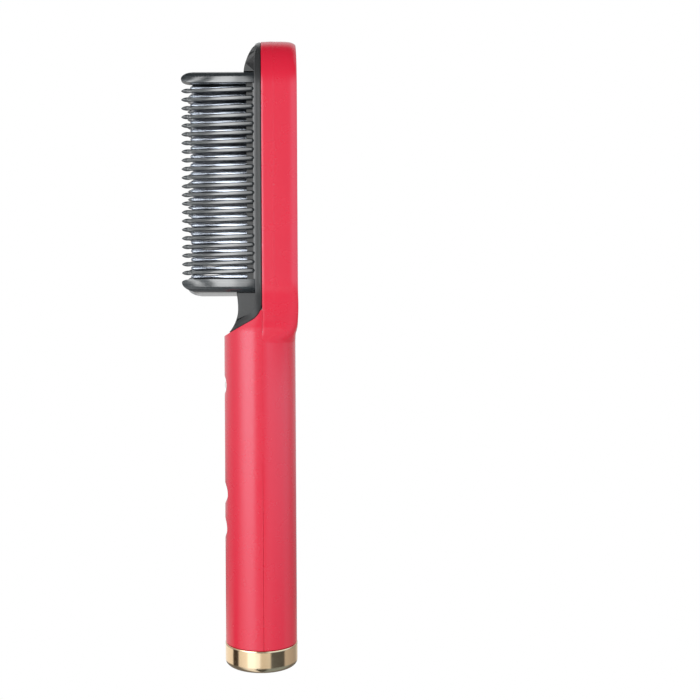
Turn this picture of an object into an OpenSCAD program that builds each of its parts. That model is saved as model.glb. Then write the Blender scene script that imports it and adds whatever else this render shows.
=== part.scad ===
// Hair straightening brush: a hollow handle, a pill-shaped head and a heated comb.
// The origin is on the handle's axis at the base. +Z is up, the teeth point to -Y.

/* [Overall] */
// Height of the brush standing on its base
brush_h = 289; // [270:1:340]
// Wall of the plastic shells
wall = 2.2; // [1.8:0.1:2.6]
// How far the shells' parting plane lies behind the handle's axis
part_y = 1.1; // [0.5:0.1:2]

/* [Handle] */
// Width of the handle, side to side
handle_w = 35; // [33:0.5:42]
// Depth of the handle, front to back
handle_d = 33.2; // [31:0.2:40]
// Height of the metal-look cap at the base
cap_h = 10.2; // [9:0.1:14]
// How far the cap stands proud of the handle
cap_proud = 0.2; // [0.1:0.05:0.4]
// Wall of the cap
cap_wall = 1.8; // [1.5:0.1:2.2]
// Floor of the cap
cap_floor = 2.4; // [2.2:0.1:3]
// Rounding under the cap
cap_round = 2.3; // [1:0.1:2.6]

/* [Head] */
// Width of the head
head_w = 53; // [48:0.5:64]
// Distance between the centres of the head's two round ends
head_straight = 84.8; // [82:0.2:105]
// How far the head's back lies behind the handle's axis
head_back = 18.7; // [18:0.1:23]
// Inside radius where the head runs into the handle
neck_r = 9; // [6:0.5:11]
// Radius of the concave shoulder under the comb
shoulder_r = 9; // [7:0.5:11]
// Slope of the shoulder's straight part, degrees below level
shoulder_slope = 28; // [20:1:34]

/* [Back trim] */
// Width of the bevelled bezel
bezel_w = 4.9; // [3.5:0.1:7]
// Width of the rim left outside the bezel
rim_w = 1.7; // [1.4:0.1:3]
// Depth of the recess that holds the bezel and the panel
recess_d = 2.8; // [2.4:0.1:3.2]

/* [Comb] */
// Number of slim guard teeth in each row
tooth_n = 22; // [10:1:23]
// Distance from one tooth to the next
tooth_pitch = 3.88; // [3.5:0.01:4]
// Diameter of a slim tooth
tooth_d = 2.1; // [1.6:0.1:2.4]
// How far the tooth tips lie in front of the handle's axis
tooth_reach = 34.7; // [28:0.1:42]
// Distance of each tooth row from the middle
tooth_row_x = 19.5; // [18:0.1:22]
// How far the teeth droop, degrees
tooth_droop = 1.2; // [0:0.1:2]
// Thickness of the wall at each end of the comb
end_wall_t = 5.7; // [4:0.1:7]
// Thickness of a heated fin
fin_t = 1.9; // [1.2:0.1:2.2]
// How far the fins reach in front of the handle's axis
fin_reach = 31; // [25:0.1:38]
// Width of the fins, side to side
fin_w = 31; // [24:0.5:32]
// Thickness of the heated plate that carries the fins
plate_t = 2; // [1.5:0.1:2.2]
// Thickness of a heater block
heater_t = 3; // [2:0.1:3.2]

/* [Controls] */
// Height of the power button above the base
power_z = 129.9; // [122:0.1:131]
// Height of the upper key
plus_z = 79.6; // [76:0.1:84]
// Height of the lower key
minus_z = 63.5; // [58:0.1:66]
// Travel of each button
travel = 0.5; // [0.3:0.05:0.6]
// Radius of the power button
power_r = 2.3; // [1.8:0.1:3]
// Gap around each button
button_gap = 0.2; // [0.15:0.05:0.3]

/* [Cord inlet] */
// Radius of the bore for the cord
cord_bore_r = 3.5; // [2.5:0.1:4]
// Radius of the swivel's nose in the cap
swivel_r = 7.5; // [7:0.1:8]
// Running clearance around the swivel
swivel_gap = 0.05; // [0.03:0.01:0.08]

/* [Hidden] */
$fn = 48;

fit = 0.1;                 // gap between fixed pieces
far = 400;                 // longer than the brush, for cuts
rx = handle_w / 2;
ry = handle_d / 2;
head_r = head_w / 2;
top_c = brush_h - head_r;  // centre of the head's upper round end
low_c = top_c - head_straight;
body_z = cap_h + fit;      // the shells start just above the cap

// The neck: fillet circles that touch the handle's sides and the head's lower round end
neck_x = rx + neck_r;
neck_z = low_c - sqrt(pow(head_r + neck_r, 2) - pow(neck_x, 2));
join_z = low_c - (low_c - neck_z) * head_r / (head_r + neck_r);
blend_z = neck_z - 4;      // the handle's section starts to square up here
blend_end = low_c - 4;     // and is as square as the head here
square_n = 9;              // how square the head's section is; an ellipse has 2
ease_z = low_c - 9.7;      // below this the head's back eases in to the handle
ease_r = 50;

// The shoulder's edge in the side view
shoulder_z = low_c - 10.4;
arc_y = part_y - shoulder_r;
arc_turn = 90 - shoulder_slope;

seal_t = 0.35;
frame_t = 2.65;            // thickness of the comb frame's flange
frame_back = part_y - seal_t;
ledge_y = frame_back - frame_t;
rim_in = 0.35;             // the comb frame's edge lies this far inside the head's outline

comb_z = low_c + 44.1;     // middle of the comb
half_comb = (tooth_n - 1) / 2 * tooth_pitch;
ridge_dz = half_comb + 4.7;          // the pointed ridge of each end wall
horn_x = tooth_row_x - 2.2;          // between its two corners the wall is cut back behind the fins
wall_in = ridge_dz - 1.4;
wall_out = wall_in + end_wall_t;
fin_n = tooth_n + 1;
block_x = tooth_row_x - tooth_d / 2 - fit;   // the raised block between the tooth rows
block_y = -5.5;
pocket_x = block_x - 1;
pocket_dz = half_comb + 3.9;
block_dz = pocket_dz + 3.4;
skin = 1.1;                // the block's front wall
plate_y = block_y + skin + fit;      // front face of the heated plate
plate_back = plate_y + plate_t;
heater_y = plate_back + fit;
heater_back = heater_y + heater_t;
heater_w = 24;
heater_gap = 3;            // half the space between the two heater blocks
heater_end = pocket_dz - 7.6;
film_t = 0.2;
clamp_y = heater_back + film_t + 0.05;
clamp_t = 1.2;
clamp_back = clamp_y + clamp_t;
clamp_x = block_x - 3.8;   // the clamp's screws
clamp_dz = heater_end * 0.8;
clamp_ear_x = tooth_row_x - 0.5;
fuse_x = -6;
fuse_r = 2;
fuse_y = clamp_back + fuse_r + 0.05;
fuse_l = 11;
sensor_x = 6;
sensor_r = 1.2;
sensor_y = clamp_back + sensor_r + 0.05;
peg_x = 10;
peg_dz = (pocket_dz + block_dz) / 2;
peg_r = 1;

comb_end = wall_out + 0.2; // the frame's ramp and chin start just past the comb's walls
ramp_h = 7.4;              // height of the ramp above the comb, in front of the parting seal
ramp_rise = 11;            // how far it runs up
ramp_x = 15.5;             // its half width
chin_r = 13;               // radius of the hollow below the comb
chin_waist = -9.8;         // how far forward the hollow leaves the chin
chin_z = low_c - 11.9;
chin_tip = -14;

recess_y = head_back - recess_d;
bezel_low = recess_y + 0.6;          // the bezel slopes up from its outer edge
bezel_high = recess_y + 1.1;
panel_back = recess_y + 1.4;         // the panel's crown, level with the shell's rim
tray_floor = recess_y - wall;
post_x = head_r - wall - 3.1;        // the posts that the frame's screws enter
post_dz = 31;
post_r = 2.6;
screw_head_r = 2.2;
frame_thread_r = 1.25;
thread_gap = 0.02;         // gap around a screw's thread
hole_gap = 0.1;            // gap around a screw where it only passes through
shield_y = 8.05;
shield_t = 0.5;

spigot_in = cap_wall - cap_proud + 0.15;     // the shells step in by this inside the cap
spigot_t = 1.8;
spigot_z = cap_floor + 0.6;
inner_rx = rx - spigot_in - spigot_t;
inner_ry = ry - spigot_in - spigot_t;
boss_y = ry - spigot_in - 2.65;
boss_r = 2.6;
boss_top = 15.5;
cap_thread_r = 1;
board_thread_r = 0.8;
clamp_thread_r = 1.2;
ear_thread_r = 0.9;
base_gap = 0.3;            // screw heads and the swivel stay this far above the surface
washer_t = 0.5;
flange_z = cap_floor + washer_t + fit;
flange_t = 1.25;
flange_r = boss_y - boss_r - 0.7;
barrel_r = 6;
ring_r = 6.8;
ring_h = 1.5;
block_z = 8;
block_h = 8;
block_r = inner_ry - 0.45;
ring_z = [block_z + 1.5, block_z + 5];
contact_x = ring_r + 0.08; // the brush contacts stay this far from the axis
tail_x = ring_r + 2.6;
lead_r = 0.7;
signal_r = 0.4;
swivel_top = block_z + block_h - 0.5;

board_y = -4.6;            // front face of the circuit board
board_t = 1.6;
board_back = board_y + board_t;
board_x = 11;
board_z = [41, power_z + 13.1];
board_post_x = 8.5;
board_post_z = [46, power_z + 8.1];
board_post_r = 2.2;
switch_s = 6;
switch_h = 3.5;
switch_y = board_y - switch_h;
plunger_r = 1.7;
plunger_y = switch_y - 1;
plunger_l = 2.2;
stem_r = 1.5;
seat_y = -(ry - wall) + 2.4;         // the keys' flanges sit behind this face
key_flange_t = 1;
// Each key: height, half width and half height of its dish, and the dish's depth
POWER = [power_z, 6.4, 4.4, 1.1];
PLUS = [plus_z, 7.2, 5.15, 1.4];
MINUS = [minus_z, 6.1, 4.7, 1.0];
key_margin = 0.8;          // the key is this much smaller than its dish
lens_z = (power_z + plus_z) / 2;
lens_w = 2.4;
lens_l = 14;
led_n = 5;

red = "#e4364f";
gold = "#e2c79c";
dark = "#4a4e50";

function clamp01(v) = min(1, max(0, v));
function smooth(v) = let(u = clamp01(v)) u * u * (3 - 2 * u);
function at_range(a, b, n) = [for (i = [0:n]) a + (b - a) * i / n];

// Half width of the whole outline at height z, drawn in by inset
function half_width(z, inset) =
    z >= top_c ? sqrt(max(4, pow(head_r - inset, 2) - pow(z - top_c, 2)))
    : z >= low_c ? head_r - inset
    : z >= join_z ? sqrt(pow(head_r, 2) - pow(low_c - z, 2)) - inset
    : z >= neck_z ? neck_x - sqrt(pow(neck_r, 2) - pow(z - neck_z, 2)) - inset
    : rx - inset;

// How far the section at height z has turned from the handle's into the head's
function squareness(z) = smooth((z - blend_z) / (blend_end - blend_z));
function section_n(z) = 2 + (square_n - 2) * squareness(z);
function back_depth(z) =
    z >= ease_z ? head_back : max(ry, head_back - pow(ease_z - z, 2) / (2 * ease_r));
function cavity_depth(z) = ry - wall + (tray_floor - ry + wall) * squareness(z);

// Points of the rear half of a section, from +X over the back to -X
function rear_half(z, inset, d, y0) =
    let(n = section_n(z), r = z > top_c ? head_r - inset : half_width(z, inset),
        up = min(0.997, max(0, (z - top_c) / r)), steps = 9,
        a0 = asin(pow(y0 / d, n / 2)), a1 = acos(pow(up, n / 2)),
        half = [for (i = [0:steps]) let(a = a0 + (a1 - a0) * i / steps,
            rho = r * pow(abs(cos(a)), 2 / n))
            [sqrt(max(0, pow(rho, 2) - pow(up * r, 2))), d * pow(sin(a), 2 / n)]])
    concat([for (p = half) [p.x, p.y, z]],
        [for (i = [steps - 1:-1:0]) [-half[i].x, half[i].y, z]]);

// Points of the front half of a section, from -X over the front to +X
function front_half(z, inset, y0) =
    let(w = half_width(z, inset), d = ry - inset, a0 = -asin(y0 / d), steps = 22)
    [for (i = [0:steps]) let(a = a0 + (180 - 2 * a0) * i / steps)
        [-w * cos(a), -d * sin(a), z]];

function neck_heights() = concat(at_range(blend_z, blend_end, 8), [low_c]);
function dome_heights(inset) =
    concat([top_c], [for (a = [20:17:71]) top_c + (head_r - inset) * sin(a)], [brush_h - inset]);

// A closed solid through a list of sections with equal numbers of points
module loft(sections) {
    m = len(sections[0]);
    n = len(sections);
    sides = [for (i = [0:n - 2], j = [0:m - 1]) let(a = i * m + j, b = i * m + (j + 1) % m)
        each [[a, a + m, b + m], [a, b + m, b]]];
    polyhedron([for (s = sections) each s],
        concat([[for (j = [0:m - 1]) j]], sides, [[for (j = [m - 1:-1:0]) (n - 1) * m + j]]));
}

module rear_body() {
    loft([for (z = concat([body_z], neck_heights(), dome_heights(0)))
        rear_half(z, 0, back_depth(z), part_y)]);
}

module rear_cavity() {
    loft([for (z = concat([body_z - 1], neck_heights(), dome_heights(wall)))
        let(s = rear_half(z, wall, cavity_depth(z), 0), w = s[0].x)
        concat([[w, -1, z]], s, [[-w, -1, z]])]);
}

module front_body(z0, heights, inset, y0) {
    loft([for (z = concat([z0], heights)) front_half(z, inset, y0)]);
}

// An outline in the side view (Y, Z), drawn out along X
module along_x(w) { rotate([90, 0, 90]) linear_extrude(w, center = true) children(); }

// An outline in the back view (X, Z), drawn out from y0 to y1
module along_y(y0, y1) { translate([0, y1, 0]) rotate([90, 0, 0]) linear_extrude(y1 - y0) children(); }

module oval(a, b) { polygon([for (i = [0:71]) [a * cos(i * 5), b * sin(i * 5)]]); }

module pill(inset) {
    r = head_r - inset;
    polygon(concat([for (i = [0:24]) [r * cos(i * 7.5), top_c + r * sin(i * 7.5)]],
        [for (i = [24:48]) [r * cos(i * 7.5), low_c + r * sin(i * 7.5)]]));
}

// A bar with round ends, or a box with round corners when r is less than w / 2
module round_bar(w, h, r) {
    polygon([for (c = [[1, 1], [-1, 1], [-1, -1], [1, -1]], i = [0:6])
        let(a = [0, 90, 180, 270][c.y > 0 ? (c.x > 0 ? 0 : 1) : (c.x < 0 ? 2 : 3)] + i * 15)
        [c.x * (w / 2 - r) + r * cos(a), c.y * (h / 2 - r) + r * sin(a)]]);
}

// The side-view region in front of the shoulder's curve, set off from it by o
module above_shoulder(o) {
    r = shoulder_r - o;
    end_y = arc_y + r * cos(arc_turn);
    end_z = shoulder_z - r * sin(arc_turn);
    low_y = -ry - 3;
    polygon(concat([[part_y - o, brush_h + 5]],
        [for (a = at_range(0, arc_turn, 8)) [arc_y + r * cos(a), shoulder_z - r * sin(a)]],
        [[low_y, end_z - (end_y - low_y) * tan(shoulder_slope)],
            [low_y, brush_h + 5]]));
}

module at_four(x, dz) {
    for (sx = [-1, 1], sz = [-1, 1]) translate([sx * x, 0, comb_z + sz * dz]) children();
}

// A round bar along Y from y0 to y1
module bar_y(r, y0, y1) { translate([0, y1, 0]) rotate([90, 0, 0]) cylinder(r = r, h = y1 - y0); }

// A wire that rises through a list of points
module wire(path, r) {
    loft([for (p = path) [for (a = [0:45:315]) p + [r * cos(a), r * sin(a), 0]]]);
}

// The open tube at the foot of the shells, its shelf and one screw boss, on one side of the parting plane
module spigot(side) {
    difference() {
        union() {
            translate([0, 0, spigot_z]) linear_extrude(body_z + 4 - spigot_z) difference() {
                oval(rx - spigot_in, ry - spigot_in);
                oval(inner_rx, inner_ry);
            }
            translate([0, 0, block_z - 1.7]) linear_extrude(1.6) difference() {
                oval(inner_rx + 0.5, inner_ry + 0.5);
                circle(flange_r + 2.2);
            }
            translate([0, side * boss_y, spigot_z]) cylinder(r = boss_r, h = boss_top - spigot_z);
        }
        translate([0, side * boss_y, spigot_z - 1])
            cylinder(r = cap_thread_r + thread_gap, h = boss_top - spigot_z);
        translate([-far / 2, side > 0 ? part_y - far : part_y, -1]) cube([far, far, far]);
    }
}

module front_housing() color(red) {
    trim_z = shoulder_z - 3.5;
    difference() {
        front_body(body_z, at_range(neck_z, trim_z, 4), 0, part_y);
        difference() {
            front_body(body_z - 1, at_range(neck_z, trim_z + 1, 4), wall, part_y + 1);
            along_x(far) above_shoulder(-wall);
        }
        along_x(far) above_shoulder(0);
        for (k = [PLUS, MINUS]) {
            dish(k);
            translate([0, 0, k[0]]) along_y(-ry - 1, 0) oval(key_w(k), key_h(k));
        }
        dish(POWER);
        translate([0, 0, power_z]) bar_y(power_r + button_gap, -ry - 1, 0);
        translate([0, 0, lens_z]) along_y(-ry - 1, 0) round_bar(lens_w, lens_l, lens_w / 2);
    }
    spigot(-1);
    inner_fittings();
    for (sx = [-1, 1], z = [32, 96]) snap_tab(sx, z);
}

// Seats behind the keys and posts for the circuit board, grown from the inside of the front wall
module inner_fittings() {
    difference() {
        intersection() {
            translate([0, 0, body_z + 1]) linear_extrude(brush_h / 2) oval(rx - wall / 2, ry - wall / 2);
            union() {
                for (k = [PLUS, MINUS]) translate([0, 0, k[0]])
                    along_y(-ry, seat_y) square([2 * k[1] + 4, 2 * k[2] + 3.4], center = true);
                translate([0, 0, power_z])
                    along_y(-ry, seat_y) square([4 * power_r + 1.6, 4 * power_r], center = true);
                for (sx = [-1, 1], z = board_post_z) translate([sx * board_post_x, 0, z])
                    bar_y(board_post_r, -ry, board_y);
            }
        }
        for (k = [PLUS, MINUS]) translate([0, 0, k[0]])
            along_y(-ry - 1, 0) oval(key_w(k), key_h(k));
        translate([0, 0, power_z]) bar_y(power_r + button_gap, -ry - 1, 0);
        for (k = [PLUS, MINUS, POWER]) dish(k);
        for (sx = [-1, 1], z = board_post_z) translate([sx * board_post_x, 0, z])
            bar_y(board_thread_r + thread_gap, board_y - 5, board_y + 1);
    }
}

// A tab that reaches past the parting plane and locates the rear shell
module snap_tab(sx, z) {
    root = rx - wall + 0.3;
    translate([0, 0, z - 3]) linear_extrude(6) scale([sx, 1])
        polygon([[root, -3], [root, part_y - 2], [root - 0.5, part_y], [root - 1.2, part_y + 3],
            [root - 2.4, part_y + 3], [root - 2.4, -3]]);
}

// The finger's dish across the front of a key: [height, half width, half height, depth]
function dish_r(k) = (pow(k[2], 2) + pow(k[3], 2)) / (2 * k[3]);
module dish(k) {
    translate([0, k[3] - ry - dish_r(k), k[0]]) rotate([0, 90, 0])
        cylinder(r = dish_r(k), h = 3 * k[1], center = true);
}
function key_w(k) = k[1] - key_margin;
function key_h(k) = k[2] - key_margin;

module key(k) {
    gap = button_gap;
    difference() {
        intersection() {
            translate([0, 0, k[0]]) along_y(-ry - 1, seat_y + 0.5) oval(key_w(k) - gap, key_h(k) - gap);
            translate([0, 0, k[0] - k[2]]) linear_extrude(2 * k[2]) oval(rx - 0.05, ry - 0.05);
        }
        dish(k);
    }
    translate([0, 0, k[0]]) {
        along_y(seat_y + fit, seat_y + fit + key_flange_t) oval(key_w(k) + 0.8, key_h(k) + 0.8);
        bar_y(stem_r, seat_y + fit, plunger_y);
    }
}

module plunger(z) { translate([0, 0, z]) bar_y(plunger_r, plunger_y, plunger_y + plunger_l); }

module plus_button() color(red) key(PLUS);
module minus_button() color(red) key(MINUS);
module power_button() color("white") translate([0, 0, power_z]) {
    translate([0, -ry + 0.1, 0]) rotate([-90, 0, 0]) rotate_extrude() polygon([[0, 0],
        [power_r * 0.5, 0.12], [power_r * 0.85, 0.5], [power_r, 1.1], [power_r, 5], [0, 5]]);
    bar_y(power_r + 0.8, seat_y + fit, seat_y + fit + key_flange_t);
    bar_y(stem_r, seat_y + fit, plunger_y);
}
module power_plunger() color("black") plunger(power_z);
module plus_plunger() color("black") plunger(plus_z);
module minus_plunger() color("black") plunger(minus_z);

module tact_switches() color("dimgray") for (z = [power_z, plus_z, minus_z]) translate([0, 0, z])
    difference() {
        along_y(switch_y, board_y) square(switch_s, center = true);
        bar_y(plunger_r + 0.05, switch_y - 1, plunger_y + plunger_l + travel + 0.2);
    }

module rear_housing() color(red) {
    difference() {
        union() {
            difference() {
                rear_body();
                rear_cavity();
                along_y(recess_y, head_back + 1) pill(rim_w - 0.05);
            }
            at_four(post_x, post_dz) {
                bar_y(post_r, shield_y + shield_t + 0.05, tray_floor + 0.8);
                bar_y(screw_head_r + 0.7, tray_floor - 0.5, recess_y);
            }
        }
        at_four(post_x, post_dz) {
            bar_y(screw_head_r + 0.2, recess_y - 1.6, head_back);
            bar_y(frame_thread_r + hole_gap, 0, head_back);
        }
    }
    spigot(1);
}

module back_bezel() color(gold) {
    edge = rim_w + fit;
    difference() {
        hull() {
            along_y(recess_y + 0.05, bezel_low) pill(edge);
            along_y(recess_y + 0.05, bezel_high) pill(edge + bezel_w);
        }
        along_y(recess_y - 1, head_back + 1) pill(edge + bezel_w);
    }
}

module back_panel() color(red) {
    edge = rim_w + bezel_w + 2 * fit;
    hull() {
        along_y(recess_y + 0.05, panel_back - 0.3) pill(edge);
        along_y(recess_y + 0.05, panel_back) pill(edge + 8);
    }
}

module end_cap() color(gold) difference() {
    a = rx + cap_proud;
    b = ry + cap_proud;
    loft([for (c = concat([for (t = [0:22.5:90]) cap_round * [1 - cos(t), 1 - sin(t)]], [[cap_h, 0]]))
        [for (t = [0:9:351]) [(a - c[1]) * cos(t), (b - c[1]) * sin(t), c[0]]]]);
    translate([0, 0, cap_floor]) linear_extrude(cap_h)
        oval(rx + cap_proud - cap_wall, ry + cap_proud - cap_wall);
    translate([0, 0, -1]) cylinder(r = swivel_r + swivel_gap, h = cap_floor + 2);
    for (sy = [-1, 1]) translate([0, sy * boss_y, -1]) {
        cylinder(r = 2.1, h = 1 + base_gap + 1.15);
        cylinder(r = 1.25, h = cap_floor + 2);
    }
}

module cap_screws() color("silver") for (sy = [-1, 1]) translate([0, sy * boss_y, base_gap]) {
    cylinder(r = 1.9, h = 1.1);
    cylinder(r = cap_thread_r, h = 9);
}

module cord_swivel() color("#202223") difference() {
    union() {
        translate([0, 0, base_gap]) cylinder(r = swivel_r, h = flange_z - base_gap + 0.5);
        translate([0, 0, flange_z]) cylinder(r = flange_r, h = flange_t);
        translate([0, 0, flange_z]) cylinder(r = barrel_r, h = swivel_top - flange_z);
    }
    translate([0, 0, -1]) cylinder(r = cord_bore_r, h = swivel_top + 2);
}

module thrust_washer() color("white") translate([0, 0, cap_floor]) difference() {
    cylinder(r = flange_r, h = washer_t);
    translate([0, 0, -1]) cylinder(r = swivel_r + swivel_gap, h = washer_t + 2);
}

module slip_rings() color("goldenrod") for (z = ring_z) translate([0, 0, z]) difference() {
    cylinder(r = ring_r, h = ring_h);
    translate([0, 0, -1]) cylinder(r = barrel_r, h = ring_h + 2);
}

module contact_block() color("#3a3d40") difference() {
    union() {
        translate([0, 0, block_z]) cylinder(r = block_r, h = block_h);
        translate([0, 0, flange_z + flange_t + fit]) cylinder(r = ring_r + 2.4, h = block_z - flange_z);
    }
    translate([0, 0, -1]) cylinder(r = ring_r + 0.4, h = far);
    for (sy = [-1, 1]) translate([0, sy * boss_y, -1]) cylinder(r = boss_r + 0.15, h = far);
    for (i = [0, 1]) mirror([i, 0, 0]) {
        translate([ring_r, -1.6, ring_z[i] + 0.05]) cube([3.7, 3.2, 1.4]);
        translate([tail_x - 0.1, -1.6, ring_z[i] + 0.05]) cube([1.2, 3.2, far]);
    }
}

module brush_contacts() color("goldenrod") for (i = [0, 1]) mirror([i, 0, 0]) {
    translate([contact_x, -1.5, ring_z[i] + 0.15]) cube([3.5, 3, 1.2]);
    translate([tail_x, -1.5, ring_z[i] + 0.15]) cube([1, 3, block_z + block_h + 0.5 - ring_z[i]]);
}

// The ramp behind the comb's upper end, in the side view
module ramp_profile() {
    top = comb_z + comb_end;
    polygon(concat([[frame_back, top]], [for (a = [0:10:90])
        [frame_back - ramp_h * cos(a), top + ramp_rise * sin(a)]]));
}

// The flange along the parting line and the chin below the comb, in the side view
module frame_profile() {
    low = comb_z - comb_end;
    difference() {
        union() {
            difference() {
                above_shoulder(seal_t);
                above_shoulder(seal_t + frame_t);
            }
            intersection() {
                above_shoulder(seal_t);
                polygon([[frame_back, low], [chin_tip - 2, low], [chin_tip - 2, neck_z - 8],
                    [frame_back, neck_z - 8]]);
            }
        }
        translate([chin_waist - chin_r, chin_z]) circle(chin_r);
        translate([chin_tip - far, 0]) square([far, far]);
    }
}

module comb_frame() color(dark) {
    difference() {
        union() {
            intersection() {
                front_body(neck_z - 4, concat(at_range(neck_z, low_c, 7), dome_heights(rim_in)),
                    rim_in, part_y);
                union() {
                    along_x(far) frame_profile();
                    along_x(2 * ramp_x) ramp_profile();
                }
            }
            translate([-block_x, block_y, comb_z - block_dz])
                cube([2 * block_x, ledge_y - block_y + 0.5, 2 * block_dz]);
        }
        translate([-pocket_x - fit, block_y + skin, comb_z - pocket_dz])
            cube([2 * (pocket_x + fit), far, 2 * pocket_dz]);
        translate([-fin_w / 2 - 0.3, block_y - 1, comb_z - pocket_dz + 0.7])
            cube([fin_w + 0.6, 3, 2 * pocket_dz - 1.4]);
        at_four(peg_x, peg_dz) bar_y(peg_r + 0.05, -far / 4, far / 4);
        for (sx = [-1, 1]) translate([sx * clamp_ear_x, 0, comb_z])
            bar_y(ear_thread_r + thread_gap, ledge_y + 0.5, 2);
    }
    difference() {
        at_four(post_x, post_dz) bar_y(post_r, frame_back - 0.5, shield_y);
        at_four(post_x, post_dz) bar_y(frame_thread_r + thread_gap, frame_back + 1, shield_y + 1);
    }
}

module frame_seal() color("#151515") difference() {
    intersection() {
        front_body(neck_z - 4, concat(at_range(neck_z, low_c, 7), dome_heights(rim_in)),
            rim_in + 0.2, part_y);
        along_x(far) difference() {
            above_shoulder(0);
            above_shoulder(seal_t);
            translate([chin_tip + 0.5 - far, 0]) square([far, far]);
        }
    }
    along_y(-far / 4, far / 4) pill(rim_in + 2.2);
}

module frame_screws() color("silver") at_four(post_x, post_dz) {
    bar_y(screw_head_r, recess_y - 1.6, recess_y - 0.1);
    bar_y(frame_thread_r, shield_y - 4, recess_y - 1);
}

// A slim tooth with a bullet-shaped root and a blunt bud at its tip, drawn up its own axis
module tooth() {
    r = tooth_d / 2;
    len_t = tooth_reach + ledge_y - 0.05;
    bud = 2.8;
    rotate_extrude() polygon(concat([[0, 0]],
        [for (a = [30:30:90]) [r * sin(a), 1.3 * (1 - cos(a))]],
        [[r * 0.9, len_t * 0.55], [r * 0.84, len_t - 5], [r, len_t - bud]],
        [for (u = [0.25:0.25:0.75]) [r * pow(1 - u * u, 0.7), len_t - bud * (1 - u)]],
        [[0, len_t]]));
}

// Side outline of the wall at the comb's upper end
module end_wall_profile() {
    nose = 8.4;
    inner = 3.5;
    tip = -tooth_reach;
    root = ledge_y - 0.05;
    polygon(concat(
        [for (a = [0:15:90]) [tip + nose * (1 - cos(a)), ridge_dz + (wall_out - ridge_dz) * sin(a)]],
        [[root, wall_out], [root, wall_in]],
        [for (a = [90:-30:30]) [tip + inner * (1 - cos(a)), ridge_dz - (ridge_dz - wall_in) * sin(a)]]));
}

module guard_comb() color("#5b6265") translate([0, 0, comb_z]) {
    for (sx = [-1, 1]) {
        for (i = [0:tooth_n - 1])
            translate([sx * tooth_row_x, ledge_y - 0.05, (i - (tooth_n - 1) / 2) * tooth_pitch])
                rotate([90 + tooth_droop, 0, 0]) tooth();
        translate([sx * tooth_row_x - 0.5, -5, -wall_in - 1]) cube([1, 1, 2 * wall_in + 2]);
    }
    for (s = [0, 1]) mirror([0, 0, s]) difference() {
        intersection() {
            along_x(2 * tooth_row_x + tooth_d) end_wall_profile();
            along_y(-far / 2, far / 2) round_bar(2 * tooth_row_x + tooth_d, 2 * wall_out, 5);
        }
        translate([-block_x - fit / 2, block_y - fit, 0])
            cube([2 * block_x + fit, far, block_dz + fit]);
        linear_extrude(far) polygon([[-horn_x, -tooth_reach - 1], [-horn_x + 2, -fin_reach + 1],
            [horn_x - 2, -fin_reach + 1], [horn_x, -tooth_reach - 1]]);
    }
    for (sx = [-1, 1], sz = [-1, 1]) translate([sx * peg_x, 0, sz * peg_dz])
        bar_y(peg_r, block_y - fit - 1, frame_back);
}

// Half thickness of a fin at distance u from its tip: a full edge, a waist, then full again
function fin_half(u) = fin_t / 2 * (1 - 0.35 * smooth((u - 3) / 4) * (1 - smooth((u - 9) / 7)));

module fin_profile() {
    depth = fin_reach + plate_y;
    nose = 1.6;
    us = concat([for (a = [30:30:90]) nose * (1 - cos(a))], at_range(3.5, 17, 6), [depth + 0.5]);
    hs = [for (u = us) u <= nose ? fin_t / 2 * sqrt(1 - pow(1 - u / nose, 2)) : fin_half(u)];
    polygon(concat([[-fin_reach, 0]], [for (i = [0:len(us) - 1]) [us[i] - fin_reach, hs[i]]],
        [for (i = [len(us) - 1:-1:0]) [us[i] - fin_reach, -hs[i]]]));
}

module heating_comb() color("#9aa7b8") {
    difference() {
        union() {
            translate([-pocket_x, plate_y, comb_z - pocket_dz + fit])
                cube([2 * pocket_x, plate_t, 2 * (pocket_dz - fit)]);
            at_four(clamp_x, clamp_dz) bar_y(2.1, plate_back - 0.5, clamp_y - 0.05);
            for (i = [0:fin_n - 1]) translate([0, 0, comb_z + (i - (fin_n - 1) / 2) * tooth_pitch])
                along_x(fin_w) fin_profile();
        }
        at_four(clamp_x, clamp_dz) bar_y(1.22, plate_back - 0.8, clamp_y + 1);
    }
}

module ptc_heaters() color("ivory") for (s = [-1, 1])
    translate([-heater_w / 2, heater_y, comb_z + (s > 0 ? heater_gap : -heater_end)])
        cube([heater_w, heater_t, heater_end - heater_gap]);

module insulation_sheet() color("orange") translate([0, 0, comb_z])
    along_y(heater_back, heater_back + film_t) square([heater_w, 2 * heater_end - 1], center = true);

module heater_clamp() color("lightgray") translate([0, 0, comb_z]) difference() {
    union() {
        along_y(clamp_y, clamp_back) round_bar(2 * clamp_x + 4, 2 * heater_end - 1, 2);
        along_y(clamp_y, clamp_back) round_bar(2 * clamp_ear_x + 4, 8, 2);
    }
    translate([0, 0, -comb_z]) at_four(clamp_x, clamp_dz) bar_y(clamp_thread_r + hole_gap + 0.05, 0, 5);
    for (sx = [-1, 1]) translate([sx * clamp_ear_x, 0, 0]) bar_y(ear_thread_r + hole_gap + 0.05, 0, 5);
}

module clamp_screws() color("silver") {
    at_four(clamp_x, clamp_dz) {
        bar_y(2, clamp_back, clamp_back + 1.3);
        bar_y(clamp_thread_r, plate_back - 0.7, clamp_back + 0.5);
    }
    for (sx = [-1, 1]) translate([sx * clamp_ear_x, 0, comb_z]) {
        bar_y(1.6, clamp_back, clamp_back + 1.1);
        bar_y(ear_thread_r, ledge_y + 0.6, clamp_back + 0.5);
    }
}

module heat_shield() color("khaki") difference() {
    translate([0, 0, comb_z]) along_y(shield_y, shield_y + shield_t)
        round_bar(2 * (head_r - wall - 0.9), 2 * post_dz + 34, 8);
    at_four(post_x, post_dz) bar_y(frame_thread_r + hole_gap, 0, 20);
}

module thermal_fuse() color("silver") translate([fuse_x, fuse_y, comb_z + 4])
    cylinder(r = fuse_r, h = fuse_l);

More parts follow.
